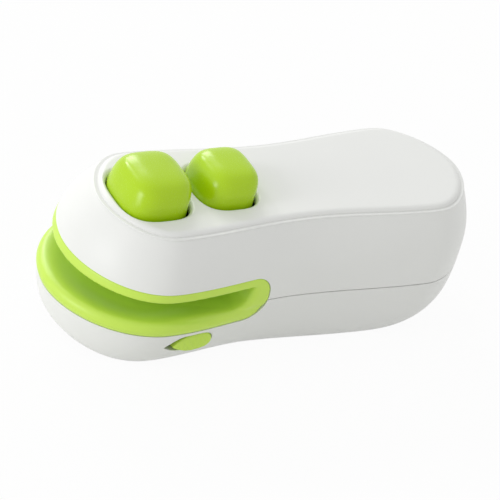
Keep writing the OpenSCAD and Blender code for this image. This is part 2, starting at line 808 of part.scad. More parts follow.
// Cell with its nub, from the flat end towards the given direction
module cell(flat_x, y, way) {
  translate([flat_x, y, cell_z]) rotate([0, way * 90, 0]) {
    cylinder(d = cell_d, h = cell_body);
    cylinder(d = nub_d, h = cell_len);
  }
}
near_face = tray_x0 + contact_t;
far_face = tray_x1 - contact_t;
module cell_left() {
  color(slate) cell(near_face + cell_gap + cell_len, -cell_y, -1);
}
module cell_right() {
  color(slate) cell(far_face - cell_gap - cell_len, cell_y, 1);
}
module front_contacts() {
  color(steel) for (s = [-1, 1])
    block([tray_x0, s * cell_y - contact_w / 2, cell_z - contact_h / 2],
      [near_face, s * cell_y + contact_w / 2, cell_z + contact_h / 2]);
}
module rear_contact() {
  color(steel) block([far_face, -cell_y - contact_w / 2, cell_z - contact_h / 2],
    [tray_x1, cell_y + contact_w / 2, cell_z + contact_h / 2]);
}
contact_coil_d = 6;
contact_wire = 0.6;
contact_turns = 3;
module contact_springs() {
  color(steel) {
    translate([near_face + cell_gap, cell_y, cell_z]) rotate([0, 90, 0])
      coil(contact_coil_d, contact_wire, contact_turns, coil_contact_len - cell_gap);
    translate([far_face - cell_gap, -cell_y, cell_z]) rotate([0, -90, 0])
      coil(contact_coil_d, contact_wire, contact_turns, coil_contact_len - cell_gap);
  }
}

// Door: a piece of the sole with a tongue over the front edge of its opening
module battery_door() {
  tongue_z = sole_z + wall + tongue_lift;
  color(white) {
    intersection() {
      difference() {
        lower_outside();
        lower_inside();
      }
      door_prism();
    }
    block([door_x0 - tongue_reach, -tongue_w / 2, tongue_z],
      [door_x0 + tongue_t, tongue_w / 2, tongue_z + tongue_t]);
    block([door_x0, -tongue_w / 2, tongue_z - tongue_lift - fit],
      [door_x0 + tongue_t, tongue_w / 2, tongue_z + tongue_t]);
  }
}
module housing_screws() {
  color(steel) for (x = screw_x)
    translate([x, 0, tray_top - screw_head_t]) {
      cylinder(d = screw_head_d, h = screw_head_t);
      cylinder(d = screw_d, h = screw_len);
    }
}

upper_housing();
lower_housing();
mouth_liner();
seal_button();
cut_button();
seal_plunger();
press_pad();
heater_base();
heater_strip();
heater_cover();
seal_springs();
blade_holder();
cutter_blade();
cut_mat();
cut_springs();
guide_plate();
guide_screws();
power_slider();
slide_switch();
switch_lead();
heater_lead();
return_lead();
cell_left();
cell_right();
front_contacts();
rear_contact();
contact_springs();
battery_door();
housing_screws();
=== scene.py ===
"""Looks of a hand-held mini bag sealer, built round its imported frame."""
import json
import math
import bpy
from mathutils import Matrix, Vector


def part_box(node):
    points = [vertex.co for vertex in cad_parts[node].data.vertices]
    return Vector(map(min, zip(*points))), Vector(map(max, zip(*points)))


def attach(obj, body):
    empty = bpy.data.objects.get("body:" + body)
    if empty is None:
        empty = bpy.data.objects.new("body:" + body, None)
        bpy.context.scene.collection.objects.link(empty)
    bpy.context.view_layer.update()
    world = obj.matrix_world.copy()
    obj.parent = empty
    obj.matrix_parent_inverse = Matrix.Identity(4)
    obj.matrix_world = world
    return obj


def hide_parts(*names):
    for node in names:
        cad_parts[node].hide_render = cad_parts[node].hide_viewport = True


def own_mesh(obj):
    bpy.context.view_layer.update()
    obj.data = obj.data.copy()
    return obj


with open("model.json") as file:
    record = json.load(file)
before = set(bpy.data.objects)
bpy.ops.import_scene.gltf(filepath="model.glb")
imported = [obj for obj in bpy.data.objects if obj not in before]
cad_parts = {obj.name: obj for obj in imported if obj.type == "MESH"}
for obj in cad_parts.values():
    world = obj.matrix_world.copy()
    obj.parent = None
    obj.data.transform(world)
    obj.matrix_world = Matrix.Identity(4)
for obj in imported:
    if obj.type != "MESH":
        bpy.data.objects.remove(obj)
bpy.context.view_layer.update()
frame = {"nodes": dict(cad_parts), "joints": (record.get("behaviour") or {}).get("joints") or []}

from types import SimpleNamespace

import bmesh
import bpy
import numpy as np
from mathutils import Matrix, Vector

bl_info = {
    "name": "Mini bag sealer",
    "version": (1, 0, 0),
    "blender": (4, 5, 0),
    "location": "3D View > Sidebar > Sealer",
    "description": "Builds a mini bag sealer with its shell, mouth, buttons, slider and battery door",
    "category": "Add Mesh",
}

# Shapes are worked out in millimetres and turned to metres when a mesh is made.
MM = 0.001
# How far a cutting tool reaches past what it cuts, and half the width of one that runs right across
OVER = 1
ACROSS = 40


def place(node):
    """Lowest and highest corner of a frame node, in millimetres."""
    low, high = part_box(node)
    return low / MM, high / MM


def middle(node):
    """Middle of a frame node's box, in millimetres."""
    low, high = place(node)
    return (low + high) / 2


def joint_of(name):
    """A joint of the frame by its name."""
    return next(joint for joint in frame["joints"] if joint["name"] == name)


def travel_of(name):
    """How far a sliding joint goes, in millimetres."""
    return joint_of(name)["range_m"][1] / MM


def angles(start, stop, count):
    """Evenly spaced angles in radians between two that are given in degrees."""
    return np.radians(np.linspace(start, stop, count))


def to_linear(code):
    """Linear RGBA of an sRGB hex colour, by the curve of the sRGB standard."""
    parts = [int(code[i:i + 2], 16) / 255 for i in (1, 3, 5)]
    return [c / 12.92 if c <= 0.04045 else ((c + 0.055) / 1.055) ** 2.4 for c in parts] + [1.0]


def length(name, description, mm):
    """A length that a user may change, given in millimetres."""
    return bpy.props.FloatProperty(
        name=name, description=description, default=mm * MM, min=0.0, precision=5,
        subtype="DISTANCE", unit="LENGTH")


def colour(name, description, code):
    """A colour that a user may change, given as sRGB hex."""
    return bpy.props.FloatVectorProperty(
        name=name, description=description, default=to_linear(code), min=0.0, max=1.0,
        size=4, subtype="COLOR")


class BodySizes(bpy.types.PropertyGroup):
    """Sizes of the moulded body"""
    head_width: length("Head width", "Width of the body at the mouth", 49.3)
    waist_width: length("Waist width", "Width of the body at its waist", 42.7)
    tail_width: length("Tail width", "Width of the body at its tail", 46.8)
    rim_head_width: length("Rim head width", "Width of the top rim over the head", 36.5)
    rim_waist_width: length("Rim waist width", "Width of the top rim at the waist", 31.4)
    rim_tail_width: length("Rim tail width", "Width of the top rim at the tail", 36.9)
    lip_height: length("Lip height", "Height of the mouth's lower edge", 10.1)
    seam_height: length("Seam height", "Height of the parting line", 14.9)
    brow_height: length("Brow height", "Height of the mouth's upper edge", 21.65)
    rim_height: length("Rim height", "Height of the top rim", 32.6)
    panel_rise: length("Panel rise", "Height of the top panel over its rim", 0.8)
    panel_round: length("Panel round", "Width of the top panel's rounded edge", 1.6)
    bead: length("Bead", "Radius of the fine bead round the rim", 0.22)
    ledge: length("Ledge", "Width of the flat ledge round the top panel", 0.5)
    wall: length("Wall", "Thickness of the shells", 1.7)
    roof: length("Roof", "Thickness of the shell under the rim", 1.5)
    seam_gap: length("Seam gap", "Gap at the parting line", 0.15)


class MouthSizes(bpy.types.PropertyGroup):
    """Sizes of the lime mouth"""
    strip: length("Strip", "Thickness of the strip over the mouth", 2.2)
    lip: length("Lip", "Thickness of the lip under the mouth", 3.4)
    bulge: length("Bulge", "How far the lip stands out from the body", 0.45)
    lip_run: length("Lip run", "Distance of the lip's crest from the body's side", 1.6)
    slope_run: length("Slope run", "Width of the slope from the crest to the floor", 7.0)
    floor: length("Floor", "Thickness of the mouth's floor", 2.2)
    end: length("End", "Thickness of the round end of the mouth", 4.6)
    end_run: length("End run", "Length over which the lip climbs to the strip", 4.6)
    top_radius: length("Top radius", "Radius of the end's upper corner", 4.4)
    low_radius: length("Low radius", "Radius of the end's lower corner", 6.2)
    scoop: length("Scoop", "How far the lip is rounded off at the end of the mouth", 1.7)


class ButtonSizes(bpy.types.PropertyGroup):
    """Sizes of the two press buttons"""
    seal_length: length("Seal length", "Length of the seal button's opening", 17.0)
    seal_width: length("Seal width", "Width of the seal button's opening", 22.1)
    cut_length: length("Cut length", "Length of the cut button's opening", 14.8)
    cut_width: length("Cut width", "Width of the cut button's opening", 19.3)
    seal_height: length("Seal height", "Height of the seal button over the panel", 7.1)
    cut_height: length("Cut height", "Height of the cut button over the panel", 6.88)
    side_gap: length("Side gap", "Gap between a button and the sides of its opening", 0.2)
    front_gap: length("Front gap", "Gap in front of a button's foot", 0.1)
    back_gap: length("Back gap", "Gap behind a button's foot", 0.4)
    flare: length("Flare", "Radius of the opening's rounded rim", 1.2)
    lean: length("Lean", "How far a button's top stands back from its foot", 1.64)


class SliderSizes(bpy.types.PropertyGroup):
    """Sizes of the power slider"""
    tab_length: length("Tab length", "Length of the thumb tab", 10.4)
    tab_height: length("Tab height", "Height of the thumb tab", 3.6)
    proud: length("Proud", "How far the tab's middle stands out of the wall", 0.4)
    tilt: length("Tilt", "How far the tab's upper edge is sunk and its lower edge stands out", 0.5)
    flange_depth: length("Flange depth", "Distance of the flange from the wall's outer face", 4.2)
    gap: length("Gap", "Gap between the tab and its opening", 0.15)
    rib_pitch: length("Rib pitch", "Distance between two ribs of the tab", 1.8)
    rib_depth: length("Rib depth", "Depth of the hollows between the ribs", 0.2)


class FinishColours(bpy.types.PropertyGroup):
    """Colours of the visible plastics"""
    shell: colour("Shell", "Satin white of the body", "#ECEDEA")
    lime: colour("Lime", "Lime green of the two buttons", "#B2D80A")
    # The mouth's and the slider's lime is the buttons' lime made paler: painted light for the brighter light
    # and glow they catch.
    lime_painted_light: colour("Lime with painted light", "Lighter lime of the mouth and the slider", "#CAEC56")


def sizes(group):
    """The present sizes of one of the scene's property groups, in millimetres."""
    values = getattr(bpy.context.scene, group)
    return SimpleNamespace(**{n: getattr(values, n) / MM for n in type(values).__annotations__})


# Plan lines of the body

SOLE = 0.0
FRONT = place("mouth_liner")[0].x
BACK = place("upper_housing")[1].x
# Fullness of the roll under the lip, of the curve under the tail and of the shoulder over the brow
UNDER_POWER = 2.03
STERN_POWER = 2.3
SHOULDER_POWER = 1.46
# How far over the lip line the tail starts to curve under
STERN_RISE = 4.1
# Reach and number of samples of the mean over height that rounds off changes of slope
SMOOTHING = 2.5
SMOOTHING_SAMPLES = 9
RING_POINTS = 320
ROUNDING_PASSES = 6


def plan_line(nose, nose_run, head, waist_x, waist, tail, tail_run, end, nose_power, tail_power,
              straight=0):
    """One plan line of the body: x of the nose, length of its curve, half width at the head, x and half
    width of the waist, half width at the tail, length of the tail's curve, x of its end, fullness of
    both curves, and straightness of the flank from head to waist."""
    return np.array([nose, nose_run, head, waist_x, waist, tail, tail_run, end, nose_power, tail_power,
                     straight])


def body_lines():
    """The plan lines at the lip, the seam, the brow and the rim."""
    body = sizes("sealer_body")
    head = body.head_width / 2
    waist = body.waist_width / 2
    tail = body.tail_width / 2
    lip = plan_line(
        nose=FRONT + 0.45, nose_run=21.6, head=head - 0.4, waist_x=-2.9, waist=waist - 0.4,
        tail=tail - 0.4, tail_run=18.5, end=BACK - 0.6, nose_power=1.91, tail_power=1.6)
    seam = plan_line(
        nose=FRONT + 1.5, nose_run=20, head=head, waist_x=0, waist=waist,
        tail=tail, tail_run=18.5, end=BACK - 0.3, nose_power=1.91, tail_power=1.6)
    brow = plan_line(
        nose=FRONT + 4, nose_run=17.9, head=head - 0.1, waist_x=2.6, waist=waist - 0.4,
        tail=tail - 1.2, tail_run=16.3, end=BACK, nose_power=1.91, tail_power=1.6)
    rim = plan_line(
        nose=FRONT + 11.5, nose_run=12.1, head=body.rim_head_width / 2, waist_x=3.6,
        waist=body.rim_waist_width / 2, tail=body.rim_tail_width / 2, tail_run=13.4, end=BACK - 3.6,
        nose_power=1.85, tail_power=1.74)
    return lip, seam, brow, rim


# What is taken off the lip line where the sole rolls in, and where the tail curves under
ROLL_UNDER = plan_line(
    nose=-6.3, nose_run=9.6, head=6.2, waist_x=13.5, waist=4.8, tail=4.4, tail_run=0, end=0,
    nose_power=-0.3, tail_power=0, straight=-0.95)
STERN_UNDER = plan_line(
    nose=0, nose_run=0, head=0, waist_x=0, waist=0, tail=0, tail_run=-3.0, end=11.8,
    nose_power=0, tail_power=0.25)


def under(z, start, power):
    """Share of a roll that starts at a height and ends at the sole."""
    depth = min(1, max(0, (start - z) / (start - SOLE)))
    return 1 - (1 - depth ** power) ** (1 / power)


def line_at(z, lines, body):
    """The plan line at one height."""
    lip, seam, brow, rim = lines
    if z >= body.brow_height:
        share = min(1, (z - body.brow_height) / (body.rim_height - body.brow_height))
        return brow + (rim - brow) * share ** SHOULDER_POWER
    if z >= body.seam_height:
        return seam + (brow - seam) * (z - body.seam_height) / (body.brow_height - body.seam_height)
    share = max(0, (z - body.lip_height) / (body.seam_height - body.lip_height))
    roll = under(z, body.lip_height, UNDER_POWER)
    stern = under(z, body.lip_height + STERN_RISE, STERN_POWER)
    return lip + (seam - lip) * share - ROLL_UNDER * roll - STERN_UNDER * stern


def near_side(line, cap_steps=60, flank_steps=40):
    """Points of the near side from the nose to the tail."""
    nose, nose_run, head, waist_x, waist, tail, tail_run, end, nose_power, tail_power, straight = line
    turn = np.linspace(0, math.pi / 2, cap_steps)
    sine = np.sin(turn)
    cosine = np.clip(np.cos(turn), 0, 1)
    front_cap = np.column_stack([
        nose + nose_run * (1 - cosine ** (2 / nose_power)), -head * sine ** (2 / nose_power)])
    back_cap = np.column_stack([
        end - tail_run * (1 - cosine ** (2 / tail_power)), -tail * sine ** (2 / tail_power)])
    run = np.linspace(0, 1, flank_steps)[1:-1]
    ease = (1 - np.cos(math.pi * run)) / 2
    head_x = nose + nose_run
    tail_x = end - tail_run
    sweep = ease + (run - ease) * straight
    head_flank = np.column_stack([head_x + (waist_x - head_x) * run, -(head + (waist - head) * sweep)])
    tail_flank = np.column_stack([waist_x + (tail_x - waist_x) * run, -(waist + (tail - waist) * ease)])
    return np.vstack([front_cap, head_flank, [[waist_x, -waist]], tail_flank, back_cap[::-1]])


def even_loop(points, count):
    """A closed outline with evenly spaced points, starting at the first one."""
    closed = np.vstack([points, points[:1]])
    way = np.concatenate([[0], np.cumsum(np.linalg.norm(np.diff(closed, axis=0), axis=1))])
    stops = np.linspace(0, way[-1], count, endpoint=False)
    return np.column_stack([np.interp(stops, way, closed[:, k]) for k in (0, 1)])


def outline(z, inset=0.0):
    """Closed plan outline of the body at a height, moved in by an inset, which may depend on x."""
    body = sizes("sealer_body")
    lines = body_lines()
    reach = max(0, min(SMOOTHING, body.rim_height - z, (z - body.lip_height + SMOOTHING) / 2))
    heights = np.linspace(z - reach, z + reach, SMOOTHING_SAMPLES)
    half = near_side(np.mean([line_at(h, lines, body) for h in heights], axis=0))
    loop = even_loop(np.vstack([half, half[-2:0:-1] * (1, -1)]), RING_POINTS)
    for _ in range(ROUNDING_PASSES):
        loop = (np.roll(loop, 1, axis=0) + 2 * loop + np.roll(loop, -1, axis=0)) / 4
    along = np.roll(loop, -1, axis=0) - np.roll(loop, 1, axis=0)
    along /= np.linalg.norm(along, axis=1)[:, None]
    out = np.column_stack([along[:, 1], -along[:, 0]])
    if callable(inset):
        return loop - out * inset(loop[:, 0])[:, None]
    return loop - out * inset


def near_wall(x, z):
    """The y of the body's near side at an x and a height."""
    half = outline(z)[:RING_POINTS // 2]
    return np.interp(x, half[:, 0], half[:, 1])


def laid(plan, z):
    """A plan outline laid at a height."""
    return np.column_stack([plan, np.full(len(plan), z)])


def ring(z, inset=0.0, at=None):
    """The body's outline at a height as a ring of points, laid at that or another height."""
    return laid(outline(z, inset), z if at is None else at)


# Meshes

def new_piece(name, points, faces):
    """A mesh object of points in millimetres."""
    mesh = bpy.data.meshes.new(name)
    mesh.from_pydata((np.asarray(points) * MM).tolist(), [], faces)
    work = bmesh.new()
    work.from_mesh(mesh)
    bmesh.ops.recalc_face_normals(work, faces=work.faces)
    work.to_mesh(mesh)
    work.free()
    piece = bpy.data.objects.new(name, mesh)
    bpy.context.scene.collection.objects.link(piece)
    return piece


def loft(name, rings):
    """A closed solid through a stack of rings with equal counts of points."""
    count = len(rings[0])
    faces = [list(range(count - 1, -1, -1))]
    for k in range(len(rings) - 1):
        low = k * count
        high = low + count
        for i in range(count):
            j = (i + 1) % count
            faces.append([low + i, low + j, high + j, high + i])
    faces.append(list(range((len(rings) - 1) * count, len(rings) * count)))
    return new_piece(name, np.vstack(rings), faces)


def prism(name, side):
    """A side outline of x and z points, run right across the body."""
    rings = []
    for y in (-ACROSS, ACROSS):
        rings.append(np.column_stack([side[:, 0], np.full(len(side), y), side[:, 1]]))
    return loft(name, rings)


def block(name, low, high):
    """A plain block between two corners."""
    (x0, y0, z0), (x1, y1, z1) = low, high
    rings = [np.array([(x0, y0, z), (x1, y0, z), (x1, y1, z), (x0, y1, z)]) for z in (z0, z1)]
    return loft(name, rings)


def arc(x, y, radius_x, radius_y, start, stop, steps=14):
    """Points of an arc between two angles in degrees."""
    turn = angles(start, stop, steps + 1)
    return np.column_stack([x + radius_x * np.cos(turn), y + radius_y * np.sin(turn)])


def round_rect(x, y, size_x, size_y, radius):
    """Outline of a rectangle with round corners."""
    dx = size_x / 2 - radius
    dy = size_y / 2 - radius
    corners = [(x + dx, y + dy, 0), (x - dx, y + dy, 90), (x - dx, y - dy, 180), (x + dx, y - dy, 270)]
    return np.vstack([arc(cx, cy, radius, radius, a, a + 90, steps=6) for cx, cy, a in corners])


def circle(x, y, diameter, steps=32):
    """Outline of a circle."""
    return arc(x, y, diameter / 2, diameter / 2, 0, 360, steps)[:-1]


def pillar(name, plan, low, high):
    """A plan outline raised between two heights."""
    return loft(name, [laid(plan, z) for z in (low, high)])


def settle(piece):
    """Turns the piece's modifiers into its mesh."""
    shape = piece.evaluated_get(bpy.context.evaluated_depsgraph_get())
    mesh = bpy.data.meshes.new_from_object(shape)
    old = piece.data
    piece.modifiers.clear()
    piece.data = mesh
    bpy.data.meshes.remove(old)
    if not mesh.polygons:
        raise RuntimeError(f"{piece.name} has no faces left")


def combine(piece, tool, operation):
    """Cuts, joins or intersects a piece with a tool, which is used up."""
    step = piece.modifiers.new("combine", "BOOLEAN")
    step.operation = operation
    step.solver = "MANIFOLD"
    step.object = tool
    settle(piece)
    bpy.data.objects.remove(tool)


def cut(piece, *tools):
    """Takes tools out of a piece."""
    for tool in tools:
        combine(piece, tool, "DIFFERENCE")


def ease(piece, name, passes, group=""):
    """Adds a smoothing step for a whole piece or for a named group of its points."""
    step = piece.modifiers.new(name, "SMOOTH")
    step.factor = 0.5
    step.iterations = passes
    step.vertex_group = group


def soften(piece, angle=30):
    """Smooth shading, with edges sharper than an angle in degrees kept."""
    mesh = piece.data
    mesh.polygons.foreach_set("use_smooth", np.ones(len(mesh.polygons), bool))
    mesh.set_sharp_from_angle(angle=math.radians(angle))
    normals = piece.modifiers.new("flat faces lead", "WEIGHTED_NORMAL")
    normals.keep_sharp = True


def finish(piece, node, body, material):
    """Dresses a finished piece and lets it stand for its frame node."""
    piece.data.materials.clear()
    piece.data.materials.append(material)
    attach(piece, body)
    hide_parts(node)


# Materials

# Width of the soft clouds in every tone, in millimetres, and half the spread of every roughness
CLOUD = 30
GLOSS_SPREAD = 0.04


def add_node(tree, kind, sockets=(), **settings):
    """Adds a shader node with its settings, and gives its sockets their values or links."""
    node = tree.nodes.new(kind)
    for key, value in settings.items():
        setattr(node, key, value)
    for socket, value in dict(sockets).items():
        if isinstance(value, bpy.types.NodeSocket):
            tree.links.new(value, node.inputs[socket])
        else:
            node.inputs[socket].default_value = value
    return node


def empty_material(name):
    """A new material and its empty tree, or one that was made before, with no tree to fill."""
    made = bpy.data.materials.get(name)
    if made:
        return made, None
    made = bpy.data.materials.new(name)
    made.use_nodes = True
    made.node_tree.nodes.clear()
    return made, made.node_tree


def surface(name, base, roughness, grain, depth=0.01, stretch=(1, 1, 1), shade=0.95, **shader):
    """A made surface: its grain in millimetres, drawn out along some axes where it was drawn or
    brushed, breaks up the gloss and the relief, and soft clouds vary its tone."""
    made, tree = empty_material(name)
    if tree is None:
        return made
    spot = add_node(tree, "ShaderNodeTexCoord").outputs["Object"]
    drawn = add_node(tree, "ShaderNodeMapping", {"Vector": spot, "Scale": stretch}).outputs["Vector"]
    skin = add_node(tree, "ShaderNodeTexNoise", {
        "Vector": drawn, "Scale": 1 / (grain * MM), "Detail": 3.0, "Roughness": 0.6}).outputs["Fac"]
    cloud = add_node(tree, "ShaderNodeTexNoise", {
        "Vector": spot, "Scale": 1 / (CLOUD * MM), "Detail": 2.0}).outputs["Fac"]
    deeper = [c * shade for c in base[:3]] + [1.0]
    # The mix node has sockets of equal names for each kind of data; its colours are 6 and 7.
    tone = add_node(tree, "ShaderNodeMix", {0: cloud, 6: list(base), 7: deeper}, data_type="RGBA")
    gloss = add_node(tree, "ShaderNodeMapRange", {
        "Value": skin, "From Min": 0.3, "From Max": 0.7,
        "To Min": roughness - GLOSS_SPREAD, "To Max": roughness + GLOSS_SPREAD}).outputs["Result"]
    relief = add_node(tree, "ShaderNodeBump", {
        "Strength": 0.12, "Distance": depth * MM, "Height": skin}).outputs["Normal"]
    body = add_node(tree, "ShaderNodeBsdfPrincipled", {
        "Base Color": tone.outputs[2], "Roughness": gloss, "Normal": relief, **shader})
    add_node(tree, "ShaderNodeOutputMaterial", {"Surface": body.outputs["BSDF"]})
    return made


def white_abs():
    """Moulded ABS, satin white: a fine spark-eroded grain makes broad, soft highlights."""
    tone = bpy.context.scene.sealer_finish.shell
    return surface("moulded ABS, satin white", tone, 0.42, 0.35, IOR=1.54)


def lime_abs():
    """Moulded ABS, lime: a smoother tool gives the buttons tighter highlights than the shell."""
    tone = bpy.context.scene.sealer_finish.lime
    return surface("moulded ABS, lime", tone, 0.25, 0.25, IOR=1.46)


def lime_painted_light_abs():
    """Moulded ABS, lime made paler than the buttons' lime: painted light for the brighter light and glow on
    the mouth, and bright enough that light between its walls fills the mouth.
    """
    tone = bpy.context.scene.sealer_finish.lime_painted_light
    return surface("moulded ABS, lime with painted light", tone, 0.4, 0.25, IOR=1.54)


def natural_pom():
    """Moulded POM, natural: waxy and slightly see-through looking, with no pigment."""
    return surface("moulded POM, natural", to_linear("#E2DFD2"), 0.4, 0.3, IOR=1.48)


def dark_abs():
    """Moulded ABS, dark: the grain shows as a grey sheen on the dark ground."""
    return surface("moulded ABS, dark", to_linear("#2A2A2C"), 0.45, 0.3, IOR=1.54)


def silicone():
    """Cast silicone rubber: matt, with a faint bloom and no sharp highlight."""
    return surface("cast silicone rubber", to_linear("#C4BEB4"), 0.7, 0.2, 0.03, IOR=1.41)


def steatite():
    """Pressed and fired steatite, unglazed: fine pores and a dry, chalky surface."""
    tone = to_linear("#E7E1D3")
    return surface("fired steatite, unglazed", tone, 0.75, 0.15, 0.05, shade=0.9, IOR=1.6)


def spring_steel():
    """Drawn spring steel: fine draw lines along the wire and strip stretch its reflections."""
    tone = to_linear("#B9BBBC")
    return surface("drawn spring steel", tone, 0.25, 0.2, stretch=(1, 1, 0.1), Metallic=1.0)


def zinc_steel():
    """Zinc-plated screw steel: bright and bluish with a slightly clouded film."""
    return surface("zinc-plated steel", to_linear("#BEC2C6"), 0.32, 0.4, shade=0.85, Metallic=1.0)


def nickel_steel():
    """Nickel-plated contact steel: warm, smooth and bright."""
    return surface("nickel-plated steel", to_linear("#CFC9BE"), 0.22, 0.5, Metallic=1.0)


def cell_film():
    """Shrink film on the cells: dark, glossy, tight and with slight ripples along the cell."""
    tone = to_linear("#2B3036")
    return surface("PVC shrink film, slate", tone, 0.22, 2.0, 0.02, (0.1, 1, 1), IOR=1.54)


def red_pvc():
    """Extruded PVC wire insulation, red: soft gloss along the lead."""
    return surface("extruded PVC, red", to_linear("#B51E1E"), 0.35, 0.4, IOR=1.53)


def black_pvc():
    """Extruded PVC wire insulation, black: soft gloss along the lead."""
    return surface("extruded PVC, black", to_linear("#1C1C1D"), 0.35, 0.4, IOR=1.53)


def release_tape():
    """Woven glass cloth with a PTFE coat: brown, with crossing threads under a smooth film. The real
    threads are 0.2 mm apart; they are drawn 0.6 mm apart so that they show."""
    made, tree = empty_material("PTFE-coated glass cloth")
    if tree is None:
        return made
    threads = 0.6
    # A wave texture of scale 1 has 20 radians to a unit of length.
    wave = {"Vector": add_node(tree, "ShaderNodeTexCoord").outputs["Object"],
            "Scale": 2 * math.pi / (20 * threads * MM)}
    warp = add_node(tree, "ShaderNodeTexWave", wave, bands_direction="X").outputs["Fac"]
    weft = add_node(tree, "ShaderNodeTexWave", wave, bands_direction="Y").outputs["Fac"]
    cloth = add_node(tree, "ShaderNodeMath", {0: warp, 1: weft}, operation="MULTIPLY").outputs[0]
    tone = add_node(tree, "ShaderNodeMix", {
        0: cloth, 6: to_linear("#6B4A2A"), 7: to_linear("#B08A5C")}, data_type="RGBA").outputs[2]
    relief = add_node(tree, "ShaderNodeBump", {
        "Strength": 0.3, "Distance": 0.03 * MM, "Height": cloth}).outputs["Normal"]
    body = add_node(tree, "ShaderNodeBsdfPrincipled", {
        "Base Color": tone, "Roughness": 0.4, "IOR": 1.38, "Normal": relief}).outputs["BSDF"]
    add_node(tree, "ShaderNodeOutputMaterial", {"Surface": body})
    return made


# Pieces

# Where tools that cut the mouth start, ahead of the body
AHEAD = FRONT - 20
# Gap between the lime mouth and the shells, and radius of the upper corner where the mouth ends
LINER_GAP = 0.05
CORNER = 0.6


def mouth_side(end, low, high, low_run, low_rise, top_radius, front=AHEAD):
    """Side outline of the mouth: straight at the front, rounded at its end."""
    return np.vstack([
        [[front, low]],
        arc(end - low_run, low + low_rise, low_run, low_rise, -90, 0),
        arc(end - top_radius, high - top_radius, top_radius, top_radius, 0, 90),
        [[front, high]]])


def mouth_room(grow):
    """The room that the lime mouth takes in the body, made larger all round."""
    body = sizes("sealer_body")
    mouth = sizes("sealer_mouth")
    low_radius = mouth.low_radius + grow
    side = mouth_side(place("mouth_liner")[1].x + grow, body.lip_height - grow, body.brow_height + grow,
                      low_radius, low_radius, mouth.top_radius + grow)
    return prism("mouth room", side)


def mouth_lines():
    """The x where the open mouth ends, and the heights of its lip's crest, its floor and its ceiling."""
    body = sizes("sealer_body")
    mouth = sizes("sealer_mouth")
    end = place("mouth_liner")[1].x - mouth.end
    return end, body.lip_height + mouth.lip, body.lip_height + mouth.floor, body.brow_height - mouth.strip


# Form of the buttons: fullness of their plan at foot and top, taper of their sides, fall of the
# crowned top, sharpness of the edge between the two, and narrowing of the foot across up to a share
# of the height
PLAN_POWER = 0.69
TOP_POWER = 0.57
TAPER = 0.17
CROWN = 0.1
EDGE_POWER = 5.5
NECK = 0.94
BELT = 0.4


def squircle(x, size_x, size_y, z, power=PLAN_POWER, steps=96):
    """A ring like a rectangle with bulging sides and full corners."""
    turn = np.linspace(0, 2 * math.pi, steps, endpoint=False)
    cosine = np.cos(turn)
    sine = np.sin(turn)
    return np.column_stack([
        x + size_x / 2 * np.sign(cosine) * np.abs(cosine) ** power,
        size_y / 2 * np.sign(sine) * np.abs(sine) ** power,
        np.full(steps, z)])


# How far the rounded rim of an opening ends over the panel, so that it leaves no sliver
RIM_LIFT = 0.02


def opening_cutter(x, size_x, size_y):
    """The hole for a button, with a softly rounded rim."""
    body = sizes("sealer_body")
    flare = sizes("sealer_buttons").flare
    panel = body.rim_height + body.panel_rise
    rings = [squircle(x, size_x, size_y, body.rim_height - body.roof - OVER)]
    for turn in angles(0, 90, 10):
        grow = 2 * flare * (1 - math.cos(turn))
        z = panel + RIM_LIFT - flare * (1 - math.sin(turn))
        rings.append(squircle(x, size_x + grow, size_y + grow, z))
    rings.append(squircle(x, size_x + 2 * flare, size_y + 2 * flare, panel + 2 * OVER))
    return loft("opening cutter", rings)


# Diameters of each screw's head, boss and bore, height of the housing's bosses over their screws' lower
# ends, root of a boss in the roof and distance of its bore from the roof
GUIDE_SCREW = SimpleNamespace(head=3.0, boss=4.2, bore=1.7)
HOUSING_SCREW = SimpleNamespace(head=4.2, boss=6.0, bore=2.3)
BOSS_LIFT = 2.65
BOSS_ROOT = 0.5
BORE_END = 2


def screw_places():
    """Place, foot and screw of each boss: four for the guide plate, and three along the middle for the
    housing."""
    low, high = place("guide_screws")
    radius = GUIDE_SCREW.head / 2
    foot = place("guide_plate")[1].z
    spots = []
    for x in (low.x + radius, high.x - radius):
        for y in (low.y + radius, high.y - radius):
            spots.append((x, y, foot, GUIDE_SCREW))
    low, high = place("housing_screws")
    head = HOUSING_SCREW.head
    for share in (0, 0.5, 1):
        x = low.x + head / 2 + (high.x - low.x - head) * share
        spots.append((x, 0, low.z + BOSS_LIFT, HOUSING_SCREW))
    return spots


# Rolled edge of both shells at the parting line, as distances from it and insets, and where the plain
# wall of the upper shell starts over it
SEAM_ROUND = ((0, 0.15), (0.05, 0.06), (0.15, 0))
PLAIN_WALL = 0.5
# Bead round the rim: how many radii under the rim it leaves the wall, the angle from which it is round
# and the share of its radius that is sunk in the wall
BEAD_RUN = 3
BEAD_START = -40
BEAD_SUNK = 0.4
# Ledge behind the bead: its start inside the rim's outline and its fall. Groove at the foot of the
# panel: its width and depth. Then the ring inside the panel's rounded edge that keeps the panel flat.
LEDGE_START = 0.1
LEDGE_FALL = 0.04
GROOVE_WIDTH = 0.1
GROOVE_DEPTH = 0.08
PANEL_FLAT = 0.5


